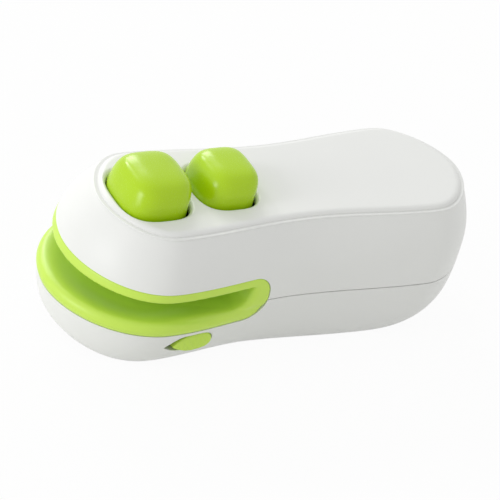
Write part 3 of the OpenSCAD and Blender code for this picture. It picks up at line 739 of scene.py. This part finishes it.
class SEALER_OT_upper_shell(bpy.types.Operator):
    """Adds the upper shell with its top panel and the two button openings"""
    bl_idname = "sealer.upper_shell"
    bl_label = "Upper shell"

    def execute(self, context):
        body = sizes("sealer_body")
        buttons = sizes("sealer_buttons")
        seam = body.seam_height + body.seam_gap / 2
        rim = body.rim_height
        rings = [ring(seam + off, inset) for off, inset in SEAM_ROUND]
        rings += [ring(z) for z in np.linspace(seam + PLAIN_WALL, rim - BEAD_RUN * body.bead, 30)]
        for turn in angles(BEAD_START, 90, 10):
            rings.append(ring(rim - body.bead, body.bead * (BEAD_SUNK - math.cos(turn)),
                              rim - body.bead * (1 - math.sin(turn))))
        ledge_end = LEDGE_START + body.ledge
        rings.append(ring(rim, ledge_end, rim - LEDGE_FALL))
        for turn in angles(0, 90, 14):
            rings.append(ring(rim, ledge_end + GROOVE_WIDTH + body.panel_round * (1 - math.cos(turn)),
                              rim - GROOVE_DEPTH + (body.panel_rise + GROOVE_DEPTH) * math.sin(turn)))
        rings.append(ring(rim, ledge_end + body.panel_round + PANEL_FLAT, rim + body.panel_rise))
        shell = loft("upper_shell", rings)
        roof = rim - body.roof
        heights = np.linspace(seam - OVER, roof, 16)
        cut(shell, loft("hollow", [ring(max(z, seam), body.wall, z) for z in heights]))
        for x, y, foot, screw in screw_places():
            combine(shell, pillar("boss", circle(x, y, screw.boss), foot, roof + BOSS_ROOT), "UNION")
            cut(shell, pillar("bore", circle(x, y, screw.bore), foot - OVER, roof - BORE_END))
        cut(shell, mouth_room(LINER_GAP),
            opening_cutter(middle("press_pad").x, buttons.seal_length, buttons.seal_width),
            opening_cutter(middle("cut_button").x, buttons.cut_length, buttons.cut_width))
        soften(shell)
        finish(shell, "upper_housing", "base", white_abs())
        return {"FINISHED"}


def under_heights(steps=26):
    """Heights from the sole to the lip, closer together where the sole rolls in."""
    body = sizes("sealer_body")
    turn = np.linspace(math.pi / 2, 0, steps)
    return body.lip_height - (body.lip_height - SOLE) * np.sin(turn) ** (2 / UNDER_POWER)


def lower_body(name):
    """The lower half of the body as a full solid."""
    body = sizes("sealer_body")
    seam = body.seam_height - body.seam_gap / 2
    *rolled, (plain, _) = SEAM_ROUND
    rings = [ring(z) for z in under_heights()]
    rings += [ring(z) for z in np.linspace(body.lip_height, seam - plain, 8)[1:]]
    rings += [ring(seam - off, inset) for off, inset in reversed(rolled)]
    return loft(name, rings)


def lower_hollow(inset, top):
    """The room inside the lower half."""
    body = sizes("sealer_body")
    rings = []
    for z in under_heights():
        share = (body.lip_height - z) / (body.lip_height - SOLE)
        rings.append(ring(z, inset, body.lip_height + (SOLE + inset - body.lip_height) * share))
    rings.append(ring(body.seam_height, inset, top))
    return loft("hollow", rings)


# The battery door: its width, the radius of its corners, its inset from the ends of the cell tray, the
# gap round it, and a height over all of it
DOOR_WIDTH = 26.7
DOOR_CORNER = 5
DOOR_INSET = 0.4
DOOR_GAP = 0.3
DOOR_TOP = 8


def door_ends():
    """Front and back end of the battery door, a little inside the cell tray."""
    return place("front_contacts")[0].x + DOOR_INSET, place("rear_contact")[1].x - DOOR_INSET


def door_column(grow):
    """The battery door's plan, made larger all round and raised through the sole."""
    front, back = door_ends()
    plan = round_rect((front + back) / 2, 0, back - front + 2 * grow, DOOR_WIDTH + 2 * grow,
                      DOOR_CORNER + grow)
    return pillar("door", plan, -OVER, DOOR_TOP)


# The slider: distance of its middle from the mouth's front, slope of its tab along the wall, and powers
# of the tab's height towards its pointed front and its blunt back
SLIDER_X = 28.4
TAB_SLOPE = 0.05
FRONT_POWERS = (1.8, 0.9)
BACK_POWERS = (4, 0.5)
# Radius of the opening's rim, flare of the tool outside the wall, and distance of its end from the flange
OPENING_EDGE = 0.35
OPENING_FLARE = 3
FLANGE_GAP = 0.1


def on_wall(points):
    """Turns points of the slider's own frame, x along the wall and y inward, to the body's frame."""
    axis = joint_of("power_slide")["axis"]
    turn = math.atan2(-axis[1], -axis[0])
    x = FRONT + SLIDER_X
    z = middle("power_slider").z
    cosine = math.cos(turn)
    sine = math.sin(turn)
    points = np.asarray(points)
    return np.column_stack([
        x + points[:, 0] * cosine - points[:, 1] * sine,
        near_wall(x, z) + points[:, 0] * sine + points[:, 1] * cosine,
        z + points[:, 2]])


def tab_outline(grow=0.0, travel=0.0, steps=40):
    """Outline of the thumb tab in its own x and z: pointed in front, blunt behind, slightly sloped.
    Travel draws out its front half."""
    tab = sizes("sealer_slider")
    half_length = tab.tab_length / 2 + grow
    half_height = tab.tab_height / 2 + grow
    share = -np.cos(np.linspace(0, math.pi, steps))
    front, behind = (np.clip(1 - np.abs(share) ** inner, 0, 1) ** outer
                     for inner, outer in (FRONT_POWERS, BACK_POWERS))
    height = half_height * np.where(share < 0, front, behind)
    x = half_length * share - np.where(share < 0, travel, 0)
    rise = TAB_SLOPE * half_length * share
    lower = np.column_stack([x, rise - height])
    upper = np.column_stack([x, rise + height])[::-1]
    return np.vstack([lower, upper[1:-1]])


def tab_ring(plan, y):
    """A ring of the slider at a depth from the wall."""
    return on_wall(np.column_stack([plan[:, 0], np.full(len(plan), y), plan[:, 1]]))


def slider_opening():
    """The opening for the tab and its travel, with a rounded rim."""
    tab = sizes("sealer_slider")
    travel = travel_of("power_slide")
    rings = [tab_ring(tab_outline(tab.gap + OPENING_FLARE, travel), -OPENING_FLARE)]
    for turn in angles(90, 0, 6):
        rings.append(tab_ring(tab_outline(tab.gap + OPENING_EDGE * (1 - math.cos(turn)), travel),
                              OPENING_EDGE * (1 - math.sin(turn))))
    rings.append(tab_ring(tab_outline(tab.gap, travel), tab.flange_depth - FLANGE_GAP))
    return loft("slider opening", rings)


# Inside the lower shell: wall of the cell tray, height of its roof over the housing screws' lower ends,
# clearance of those screws, size of the door tongue's notch, and place and diameter of the heater's posts
TRAY_WALL = 1.2
TRAY_RISE = 1.4
SCREW_GAP = 0.3
NOTCH = 3
POST_Y = 7
POST_WIDTH = 6


class SEALER_OT_lower_shell(bpy.types.Operator):
    """Adds the lower shell with its cell tray, door opening and slider opening"""
    bl_idname = "sealer.lower_shell"
    bl_label = "Lower shell"

    def execute(self, context):
        body = sizes("sealer_body")
        shell = lower_body("lower_shell")
        cut(shell, lower_hollow(body.wall, body.seam_height + 2 * OVER), door_column(DOOR_GAP))
        front = place("front_contacts")[0].x
        back = place("rear_contact")[1].x
        roof = place("housing_screws")[0].z + TRAY_RISE
        tray = block("tray", (front - TRAY_WALL, -ACROSS, SOLE), (back + TRAY_WALL, ACROSS, roof + TRAY_WALL))
        cut(tray, block("cells' room", (front, -ACROSS - OVER, -OVER), (back, ACROSS + OVER, roof)))
        combine(tray, lower_hollow(body.wall / 2, body.seam_height - body.seam_gap), "INTERSECT")
        combine(shell, tray, "UNION")
        for x, y, _, screw in screw_places():
            if screw is HOUSING_SCREW:
                hole = circle(x, y, screw.bore + SCREW_GAP)
                cut(shell, pillar("screw hole", hole, roof - OVER, roof + 2 * TRAY_WALL))
        cut(shell, block("tongue's notch", (front - 2 * TRAY_WALL, -NOTCH, body.wall),
                         (front + TRAY_WALL, NOTCH, body.wall + NOTCH)))
        for y in (-POST_Y, POST_Y):
            post = circle(middle("heater_base").x, y, POST_WIDTH)
            combine(shell, pillar("heater post", post, body.wall / 2, place("heater_base")[0].z), "UNION")
        cut(shell, mouth_room(LINER_GAP), slider_opening())
        soften(shell)
        finish(shell, "lower_housing", "base", white_abs())
        return {"FINISHED"}


# Length over which the lip is rounded off towards the mouth's end, and start of that tool off the wall
SCOOP_RUN = 26
SCOOP_START = 1.5


def mouth_scoop(side):
    """Rounds the lip over towards the end of the mouth, on one side of the body."""
    mouth = sizes("sealer_mouth")
    end, crest, _, ceiling = mouth_lines()
    front = end - SCOOP_RUN
    rise = ceiling - crest - CORNER
    plain = mouth_side(end, crest, ceiling, mouth.end_run, rise, CORNER, front)
    scoop = mouth.scoop
    wide = mouth_side(end + scoop, crest - scoop, ceiling, mouth.end_run + scoop, rise + scoop, CORNER,
                      front)
    share = np.clip((plain[:, 0] - front) / (end - front), 0, 1)
    grow = (wide - plain) * (share ** 2 * (3 - 2 * share))[:, None]
    steps = [(-SCOOP_START, 1)]
    steps += [(scoop * (1 - math.cos(turn)), 1 - math.sin(turn)) for turn in angles(0, 90, 9)]
    steps.append((scoop + 2 * OVER, 0))
    rings = []
    for depth, widening in steps:
        at = plain + grow * widening
        wall = near_wall(at[:, 0], (crest + ceiling) / 2)
        rings.append(np.column_stack([at[:, 0], side * (-wall - depth), at[:, 1]]))
    return loft("scoop", rings)


# The pocket behind the lip: how far out and up its tool leaves the crest, where its floor starts to climb
# before the mouth's end, the length of that climb, how far it goes over the crest, and where it stops
POCKET_OUT = 0.4
POCKET_UP = 0.5
CLIMB_START = 18
CLIMB_RUN = 14
CLIMB_OVER = 0.05
POCKET_END = 3


def lip_pocket():
    """The hollow behind the lip: it slopes from the crest to the floor and climbs again at its end."""
    body = sizes("sealer_body")
    mouth = sizes("sealer_mouth")
    end, crest, floor, _ = mouth_lines()
    slope = []
    for share in np.linspace(1, 0, 12):
        fall = (1 - math.cos(math.pi * share)) / 2
        slope.append(ring(body.lip_height, mouth.lip_run + mouth.slope_run * share,
                          crest - (crest - floor) * fall))
    slope.append(ring(body.lip_height, mouth.lip_run - POCKET_OUT, crest + POCKET_UP))
    pocket = loft("pocket", slope)
    share = np.linspace(0, 1, 16)
    climb = np.column_stack([
        end - CLIMB_START + CLIMB_RUN * share,
        floor + (crest - floor + CLIMB_OVER) * (1 - np.cos(math.pi * share)) / 2])
    top = crest + OVER
    side = np.vstack([[[AHEAD, floor]], climb, [[end - POCKET_END, top], [AHEAD, top]]])
    combine(pocket, prism("pocket end", side), "INTERSECT")
    return pocket


# Height of the lip's widest part over its lower edge, length over which its bulge fades at the end, and
# start of the plain wall over its crest
LIP_BELT = 1.5
LIP_FADE = 9
LIP_TOP = 0.1
# Room round the pieces that reach into the mouth
SLOT_ROOM = {"press_pad": 0.5, "cutter_blade": 0.4, "heater_cover": 0.2, "cut_mat": 0.05}
# Grid that blends the liner's edges, passes that ease it, and the band from over the lip's lower edge to
# over its crest that gets more of them
VOXEL = 0.28
LINER_PASSES = 5
LIP_PASSES = 20
BAND_START = 1.6
BAND_END = 1.5


class SEALER_OT_mouth_liner(bpy.types.Operator):
    """Adds the lime mouth: a strip above, a fat rounded lip below and a round end"""
    bl_idname = "sealer.mouth_liner"
    bl_label = "Mouth liner"

    def execute(self, context):
        body = sizes("sealer_body")
        mouth = sizes("sealer_mouth")
        end, crest, _, ceiling = mouth_lines()
        edge = body.lip_height
        belt = edge + LIP_BELT

        def fading(inset):
            """An inset that fades out towards the end of the mouth."""
            return lambda x: inset * np.clip((end - x) / LIP_FADE, 0, 1)

        rings = [ring(edge, 0, edge - OVER)]
        for share in np.linspace(0, 1, 6)[:-1]:
            rings.append(ring(edge, fading(-mouth.bulge * math.sin(share * math.pi / 2)),
                              edge + (belt - edge) * share))
        for turn in angles(0, 80, 10):
            rings.append(ring(edge, fading(mouth.lip_run - (mouth.lip_run + mouth.bulge) * math.cos(turn)),
                              belt + (crest - belt) * math.sin(turn)))
        rings += [ring(z) for z in np.linspace(crest + LIP_TOP, body.brow_height + OVER, 14)]
        liner = loft("mouth_liner_lime", rings)
        combine(liner, mouth_room(0), "INTERSECT")
        gap = mouth_side(end, crest, ceiling, mouth.end_run, ceiling - crest - CORNER, CORNER)
        cut(liner, prism("gap", gap), lip_pocket(), mouth_scoop(-1), mouth_scoop(1))
        through_strip = (ceiling - OVER, body.brow_height + OVER)
        heights = {"press_pad": through_strip, "cutter_blade": through_strip,
                   "heater_cover": (edge - OVER, crest), "cut_mat": (place("cut_mat")[0].z, crest)}
        for node, (bottom, top) in heights.items():
            low, high = place(node)
            room = SLOT_ROOM[node]
            cut(liner, block("slot", (low.x - room, low.y - room, bottom),
                             (high.x + room, high.y + room, top)))
        blend = liner.modifiers.new("blend", "REMESH")
        blend.mode = "VOXEL"
        blend.voxel_size = VOXEL * MM
        blend.use_smooth_shade = True
        ease(liner, "ease", LINER_PASSES)
        settle(liner)
        band = [v.index for v in liner.data.vertices if edge + BAND_START < v.co.z / MM < crest + BAND_END]
        liner.vertex_groups.new(name="lip").add(band, 1.0, "REPLACE")
        ease(liner, "ease lip", LIP_PASSES, "lip")
        settle(liner)
        # The mouth gets the lime made paler, painted light for the light and glow on it.
        finish(liner, "mouth_liner", "base", lime_painted_light_abs())
        return {"FINISHED"}


# How much lower than in the frame the button springs end, because the caps lean
SPRING_DROP = 1.0
# Inside a cap: its wall, the hollow's top over the panel, and room beside and over its springs
CAP_WALL = 1.3
CAP_ROOM = 0.8
SPRING_ROOM = 0.4
SPRING_CLEAR = 0.1
# Corner radius and height of the lugs that keep a cap in its opening
LUG_RADIUS = 0.4
LUG_HEIGHT = 1


def spring_top(node):
    """Height of a button spring's upper end."""
    return place(node)[1].z - SPRING_DROP


def pillow(name, node, springs, size_x, size_y, rise):
    """A pillow-shaped cap: narrow at its foot, widest at its belt, with tapered sides that turn over a
    soft edge into a slightly crowned top, and hollow underneath. It stands further back as it rises."""
    body = sizes("sealer_body")
    buttons = sizes("sealer_buttons")
    low, high = place(node)
    x = (low.x + high.x) / 2
    panel = body.rim_height + body.panel_rise
    cap_x = size_x - buttons.front_gap - buttons.back_gap
    cap_y = size_y - 2 * buttons.side_gap
    foot_x = x + (buttons.front_gap - buttons.back_gap) / 2
    rings = [squircle(foot_x, cap_x, cap_y * NECK, low.z)]
    edge = np.cos(angles(0, 80, 40)) ** (2 / EDGE_POWER)
    for across in (*edge, *np.linspace(edge[-1], 0.02, 14)[1:]):
        up = (1 - across ** EDGE_POWER) ** (1 / EDGE_POWER)
        # Taper depends on height and crown on width, so the two are settled by repetition.
        scale, share = across, up
        for _ in range(30):
            scale, share = across * (1 - TAPER * share), up * (1 - CROWN * scale ** 2)
        swell = NECK + (1 - NECK) * math.sin(min(1, share / BELT) * math.pi / 2)
        rings.append(squircle(foot_x + buttons.lean * share, cap_x * scale, cap_y * (scale * swell),
                              panel + rise * share, PLAN_POWER + (TOP_POWER - PLAN_POWER) * share))
    cap = loft(name, rings)
    lugs = round_rect(x, 0, cap_x / 2, high.y - low.y, LUG_RADIUS)
    combine(cap, pillar("lugs", lugs, low.z, low.z + LUG_HEIGHT), "UNION")
    room_x = cap_x - 2 * CAP_WALL
    room_y = NECK * cap_y - 2 * CAP_WALL
    hollow = [squircle(x, room_x, room_y, z) for z in (low.z - OVER, panel + CAP_ROOM)]
    first, last = place(springs)
    cut(cap, loft("hollow", hollow),
        block("springs' room", (first.x - SPRING_ROOM, first.y - SPRING_ROOM, low.z),
              (last.x + SPRING_ROOM, last.y + SPRING_ROOM, spring_top(springs) + SPRING_CLEAR)))
    soften(cap, angle=40)
    return cap


class SEALER_OT_buttons(bpy.types.Operator):
    """Adds the seal button and the cut button"""
    bl_idname = "sealer.buttons"
    bl_label = "Buttons"

    def execute(self, context):
        buttons = sizes("sealer_buttons")
        seal = pillow("seal_button_cap", "seal_button", "seal_springs",
                      buttons.seal_length, buttons.seal_width, buttons.seal_height)
        finish(seal, "seal_button", "seal", lime_abs())
        trim = pillow("cut_button_cap", "cut_button", "cut_springs",
                      buttons.cut_length, buttons.cut_width, buttons.cut_height)
        finish(trim, "cut_button", "cut", lime_abs())
        return {"FINISHED"}


# The tab: root in its flange, end of its straight side and start of its dome as depths from the wall,
# fullness of the dome, and lean of the ribs
TAB_ROOT = 0.5
TAB_SIDE = 0.8
TAB_EDGE = 0.2
TAB_POWER = 0.8
RIB_LEAN = 0.5
# Behind the wall: the flange's margin round the tab and its thickness, half the width of the prong, and
# the prong's start and end from the flange's face
FLANGE_MARGIN = 0.7
FLANGE_THICKNESS = 1
PRONG_HALF = 0.9
PRONG_START = 0.9
PRONG_END = 2.4


class SEALER_OT_slider(bpy.types.Operator):
    """Adds the power slider: a domed, ribbed thumb tab on a flange with a prong"""
    bl_idname = "sealer.slider"
    bl_label = "Power slider"

    def execute(self, context):
        tab = sizes("sealer_slider")
        flange = tab.flange_depth
        plan = tab_outline()
        rings = [tab_ring(plan, flange + TAB_ROOT), tab_ring(plan, TAB_SIDE)]
        for turn in angles(0, 88, 26):
            x, z = (plan * math.cos(turn) ** TAB_POWER).T
            ribs = (1 + np.cos(2 * math.pi * (x + RIB_LEAN * z) / tab.rib_pitch)) / 2
            y = (TAB_EDGE - (tab.proud + TAB_EDGE) * math.sin(turn) ** TAB_POWER
                 + tab.rib_depth * ribs * math.sin(turn) + tab.tilt * z / (tab.tab_height / 2))
            rings.append(on_wall(np.column_stack([x, y, z])))
        slider = loft("power_slider_tab", rings)
        inside = ((tab.tab_length / 2 + FLANGE_MARGIN, flange, flange + FLANGE_THICKNESS,
                   tab.tab_height / 2 + FLANGE_MARGIN),
                  (PRONG_HALF, flange + PRONG_START, flange + PRONG_END, PRONG_HALF))
        for half_x, near, far, half_z in inside:
            plan = ((-half_x, near), (half_x, near), (half_x, far), (-half_x, far))
            rings = [on_wall([(x, y, z) for x, y in plan]) for z in (-half_z, half_z)]
            combine(slider, loft("behind the wall", rings), "UNION")
        soften(slider, angle=50)
        # The slider gets the same paler lime, painted light.
        finish(slider, "power_slider", "slider", lime_painted_light_abs())
        return {"FINISHED"}


# The door's tongue: half its width, its reach past the door, its lift over the door's inner face, its
# thickness, and the length and depth of its root in the door
TONGUE_HALF = 2.5
TONGUE_REACH = 1.6
TONGUE_LIFT = 0.3
TONGUE_THICKNESS = 1
ROOT_LENGTH = 1
ROOT_DEPTH = 0.05


class SEALER_OT_battery_door(bpy.types.Operator):
    """Adds the battery door with its tongue"""
    bl_idname = "sealer.battery_door"
    bl_label = "Battery door"

    def execute(self, context):
        body = sizes("sealer_body")
        door = lower_body("battery_door_cover")
        cut(door, lower_hollow(body.wall, body.seam_height + 2 * OVER))
        combine(door, door_column(0), "INTERSECT")
        front = door_ends()[0]
        back = front + ROOT_LENGTH
        foot = body.wall + TONGUE_LIFT
        tongue = block("tongue", (front - TONGUE_REACH, -TONGUE_HALF, foot),
                       (back, TONGUE_HALF, foot + TONGUE_THICKNESS))
        root = block("root", (front, -TONGUE_HALF, body.wall - ROOT_DEPTH),
                     (back, TONGUE_HALF, body.wall + TONGUE_THICKNESS))
        combine(tongue, root, "UNION")
        combine(door, tongue, "UNION")
        soften(door)
        finish(door, "battery_door", "door", white_abs())
        return {"FINISHED"}


# Outer and wire diameter and turns of the springs, share of a turn that is closed flat at each end, and
# gap between a contact spring and its cell
BUTTON_SPRING = SimpleNamespace(width=3.0, wire=0.4, turns=6)
CONTACT_SPRING = SimpleNamespace(width=6.0, wire=0.6, turns=3)
FLAT_TURN = 0.5
CONTACT_GAP = 0.05


def coil(name, foot, way, spring, height):
    """A wound spring of round wire on a foot point. Its way is the direction, as +1 or -1 along x, or 0
    for up."""
    wire = spring.wire
    radius = (spring.width - wire) / 2
    around = np.linspace(0, 2 * math.pi, 10, endpoint=False)
    sloped = spring.turns - 2 * FLAT_TURN
    up = np.array([0, 0, 1])
    rings = []
    for turn in np.linspace(0, spring.turns, spring.turns * 24 + 1):
        angle = 2 * math.pi * turn
        rise = wire / 2 + (height - wire) * min(1, max(0, (turn - FLAT_TURN) / sloped))
        radial = np.array([math.cos(angle), math.sin(angle), 0])
        section = np.cos(around)[:, None] * radial + np.sin(around)[:, None] * up
        rings.append(radius * radial + rise * up + wire / 2 * section)
    if way:
        rings = [np.column_stack([way * r[:, 2], r[:, 0], way * r[:, 1]]) for r in rings]
    piece = loft(name, [r + np.array(foot) for r in rings])
    soften(piece, angle=50)
    return piece


class SEALER_OT_springs(bpy.types.Operator):
    """Adds the wound springs under the buttons and on the cell contacts"""
    bl_idname = "sealer.springs"
    bl_label = "Springs"

    def execute(self, context):
        radius = BUTTON_SPRING.width / 2
        for node, joint, ends in (("seal_springs", "seal_press", ("front", "back")),
                                  ("cut_springs", "cut_press", ("near", "far"))):
            low, high = place(node)
            height = spring_top(node) - low.z
            spots = ((low.x + radius, low.y + radius), (high.x - radius, high.y - radius))
            for (x, y), end in zip(spots, ends):
                foot = (x, y, low.z)
                piece = coil(f"{node}_{end}", foot, 0, BUTTON_SPRING, height)
                finish(piece, node, "base", spring_steel())
                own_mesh(piece)
        low, high = place("contact_springs")
        radius = CONTACT_SPRING.width / 2
        height = place("cell_right")[0].x - low.x - CONTACT_GAP
        z = (low.z + high.z) / 2
        for spot, way, end in (((low.x, high.y - radius, z), 1, "front"),
                               ((high.x, low.y + radius, z), -1, "back")):
            piece = coil(f"contact_spring_{end}", spot, way, CONTACT_SPRING, height)
            finish(piece, "contact_springs", "base", nickel_steel())
        return {"FINISHED"}


# Radius of a cell's nub, length of its bare end, and margin of the film over its ends
NUB = 1.9
BARE_END = 1.6
FILM_MARGIN = 0.75


class SEALER_OT_cells(bpy.types.Operator):
    """Adds the two cells: a film-wrapped can with a rounded shoulder, a flat end and a nub"""
    bl_idname = "sealer.cells"
    bl_label = "Cells"

    def execute(self, context):
        for node, way in (("cell_left", -1), ("cell_right", 1)):
            low, high = place(node)
            y = middle(node).y
            z = middle(node).z
            can = (high.y - low.y) / 2
            full = high.x - low.x
            start = low.x if way > 0 else high.x
            film = full - BARE_END
            # Distance along the cell and radius there: flat end, film, rolled shoulder, cap and nub
            profile = [(0, can - 1.2), (0, can - 0.5), (0.12, can - 0.2), (0.35, can - 0.05), (0.6, can),
                       (film, can), (film + 0.35, can - 0.12), (film + 0.5, can - 0.5),
                       (film + 0.5, can - 0.8), (film + 0.35, can - 1.0), (film + 0.35, NUB + 0.5),
                       (film + 0.5, NUB + 0.1), (full - 0.25, NUB), (full, NUB - 0.25)]
            rings = []
            for along, radius in profile:
                plan = circle(y, z, 2 * radius, steps=48)
                rings.append(np.column_stack([np.full(len(plan), start + way * along), plan]))
            piece = loft(f"{node}_wrapped", rings)
            soften(piece)
            finish(piece, node, "base", cell_film())
            piece.data.materials.append(nickel_steel())
            for face in piece.data.polygons:
                if math.hypot(face.center.y / MM - y, face.center.z / MM - z) < can - FILM_MARGIN:
                    face.material_index = 1
        return {"FINISHED"}


class SEALER_OT_inner_parts(bpy.types.Operator):
    """Gives each inner part that stays from the frame its own material"""
    bl_idname = "sealer.inner_parts"
    bl_label = "Inner parts"

    def execute(self, context):
        shown = {
            "seal_plunger": natural_pom, "blade_holder": natural_pom, "guide_plate": dark_abs,
            "slide_switch": dark_abs, "press_pad": silicone, "cut_mat": silicone, "heater_base": steatite,
            "heater_strip": spring_steel, "heater_cover": release_tape, "cutter_blade": spring_steel,
            "guide_screws": zinc_steel, "housing_screws": zinc_steel, "front_contacts": nickel_steel,
            "rear_contact": nickel_steel, "switch_lead": red_pvc, "heater_lead": red_pvc,
            "return_lead": black_pvc}
        for name, material in shown.items():
            mesh = frame["nodes"][name].data
            mesh.materials.clear()
            mesh.materials.append(material())
        return {"FINISHED"}


# Half width, thickness and drop of the floor, and share of its glow where it is seen directly
FLOOR_HALF = 3000
FLOOR_THICKNESS = 10
FLOOR_DROP = 0.02
FLOOR_GLOW = 0.94
# Lamps of the studio: name, place in metres, width in metres and power in watts
LAMPS = (
    ("key", (-0.3, 0.95, 0.6), 0.1, 1.2),
    ("back", (0.1, 1.0, 0.55), 0.4, 3.3),
    ("left", (-0.9, 0.1, 0.4), 0.35, 2.1),
    ("low left", (-1.0, -0.05, 0.12), 0.4, 0.95),
)
# Camera: azimuth, elevation and roll in degrees, lens, and target and distance in millimetres
CAMERA_TURN = (-32.04, 32.9, 12.0)
CAMERA_LENS = 180.8
CAMERA_TARGET = (-1.3, 0, 13.5)
CAMERA_DISTANCE = 600


def directly_seen(tree):
    """1 for rays from the camera and by way of gloss or glass, and 0 for the light on the object."""
    path = add_node(tree, "ShaderNodeLightPath").outputs
    seen = path["Is Camera Ray"]
    for ray in ("Is Glossy Ray", "Is Transmission Ray"):
        seen = add_node(tree, "ShaderNodeMath", {0: seen, 1: path[ray]}, operation="MAXIMUM").outputs[0]
    return seen


class SEALER_OT_stage(bpy.types.Operator):
    """Adds the pale floor, the soft studio light and the camera"""
    bl_idname = "sealer.stage"
    bl_label = "Stage"

    def execute(self, context):
        scene = context.scene
        scene.view_settings.view_transform = "Standard"
        floor = block("floor", (-FLOOR_HALF, -FLOOR_HALF, -FLOOR_THICKNESS),
                      (FLOOR_HALF, FLOOR_HALF, -FLOOR_DROP))
        made, tree = empty_material("pale floor")
        share = add_node(tree, "ShaderNodeMath", {0: directly_seen(tree), 1: FLOOR_GLOW},
                         operation="MULTIPLY").outputs[0]
        matt = add_node(tree, "ShaderNodeBsdfDiffuse", {"Color": to_linear("#F0F0EE")}).outputs[0]
        glow = add_node(tree, "ShaderNodeEmission", {"Strength": 1.0}).outputs[0]
        mixed = add_node(tree, "ShaderNodeMixShader", {0: share, 1: matt, 2: glow}).outputs[0]
        add_node(tree, "ShaderNodeOutputMaterial", {"Surface": mixed})
        floor.data.materials.append(made)

        world = bpy.data.worlds.new("white studio")
        world.use_nodes = True
        tree = world.node_tree
        tree.nodes.clear()
        level = add_node(tree, "ShaderNodeMapRange", {
            "Value": directly_seen(tree), "To Min": 0.7, "To Max": 1.0}).outputs["Result"]
        sky = add_node(tree, "ShaderNodeBackground", {"Color": (1, 1, 1, 1), "Strength": level})
        add_node(tree, "ShaderNodeOutputWorld", {"Surface": sky.outputs[0]})
        scene.world = world

        for name, spot, width, power in LAMPS:
            lamp = bpy.data.lights.new(name, "AREA")
            lamp.size = width
            lamp.energy = power
            holder = bpy.data.objects.new(name, lamp)
            holder.location = spot
            holder.rotation_euler = (-Vector(spot)).to_track_quat("-Z", "Y").to_euler()
            scene.collection.objects.link(holder)

        azimuth, elevation, roll = (math.radians(angle) for angle in CAMERA_TURN)
        back = Vector((math.sin(azimuth) * math.cos(elevation), -math.cos(azimuth) * math.cos(elevation),
                       math.sin(elevation)))
        right = Vector((math.cos(azimuth), math.sin(azimuth), 0))
        up = back.cross(right)
        turned_right = right * math.cos(roll) + up * math.sin(roll)
        turned_up = up * math.cos(roll) - right * math.sin(roll)
        camera = bpy.data.objects.new("camera", bpy.data.cameras.new("camera"))
        camera.data.lens = CAMERA_LENS
        spot = Vector(CAMERA_TARGET) * MM + back * CAMERA_DISTANCE * MM
        turned = Matrix((turned_right, turned_up, back)).transposed().to_4x4()
        camera.matrix_world = Matrix.Translation(spot) @ turned
        scene.collection.objects.link(camera)
        scene.camera = camera
        return {"FINISHED"}


class SEALER_PT_panel(bpy.types.Panel):
    """Lists the sealer's sizes, colours and pieces"""
    bl_idname = "SEALER_PT_panel"
    bl_label = "Mini bag sealer"
    bl_space_type = "VIEW_3D"
    bl_region_type = "UI"
    bl_category = "Sealer"

    def draw(self, context):
        for group in GROUPS:
            box = self.layout.box()
            for name in GROUPS[group].__annotations__:
                box.prop(getattr(context.scene, group), name)
        for operator in OPERATORS:
            self.layout.operator(operator.bl_idname)


GROUPS = {
    "sealer_body": BodySizes,
    "sealer_mouth": MouthSizes,
    "sealer_buttons": ButtonSizes,
    "sealer_slider": SliderSizes,
    "sealer_finish": FinishColours,
}
OPERATORS = (
    SEALER_OT_stage,
    SEALER_OT_upper_shell,
    SEALER_OT_lower_shell,
    SEALER_OT_mouth_liner,
    SEALER_OT_buttons,
    SEALER_OT_slider,
    SEALER_OT_battery_door,
    SEALER_OT_springs,
    SEALER_OT_cells,
    SEALER_OT_inner_parts,
)


def register():
    """Registers the add-on's classes and its groups of sizes."""
    for made in (*GROUPS.values(), *OPERATORS, SEALER_PT_panel):
        bpy.utils.register_class(made)
    for group, made in GROUPS.items():
        setattr(bpy.types.Scene, group, bpy.props.PointerProperty(type=made))


def unregister():
    """Takes the add-on's classes and groups away again."""
    for group in GROUPS:
        delattr(bpy.types.Scene, group)
    for made in (SEALER_PT_panel, *reversed(OPERATORS), *reversed(GROUPS.values())):
        bpy.utils.unregister_class(made)


def main():
    """Builds the sealer on its stage."""
    register()
    bpy.ops.sealer.stage()
    bpy.ops.sealer.upper_shell()
    bpy.ops.sealer.lower_shell()
    bpy.ops.sealer.mouth_liner()
    bpy.ops.sealer.buttons()
    bpy.ops.sealer.slider()
    bpy.ops.sealer.battery_door()
    bpy.ops.sealer.springs()
    bpy.ops.sealer.cells()
    bpy.ops.sealer.inner_parts()


if __name__ == "__main__":
    main()
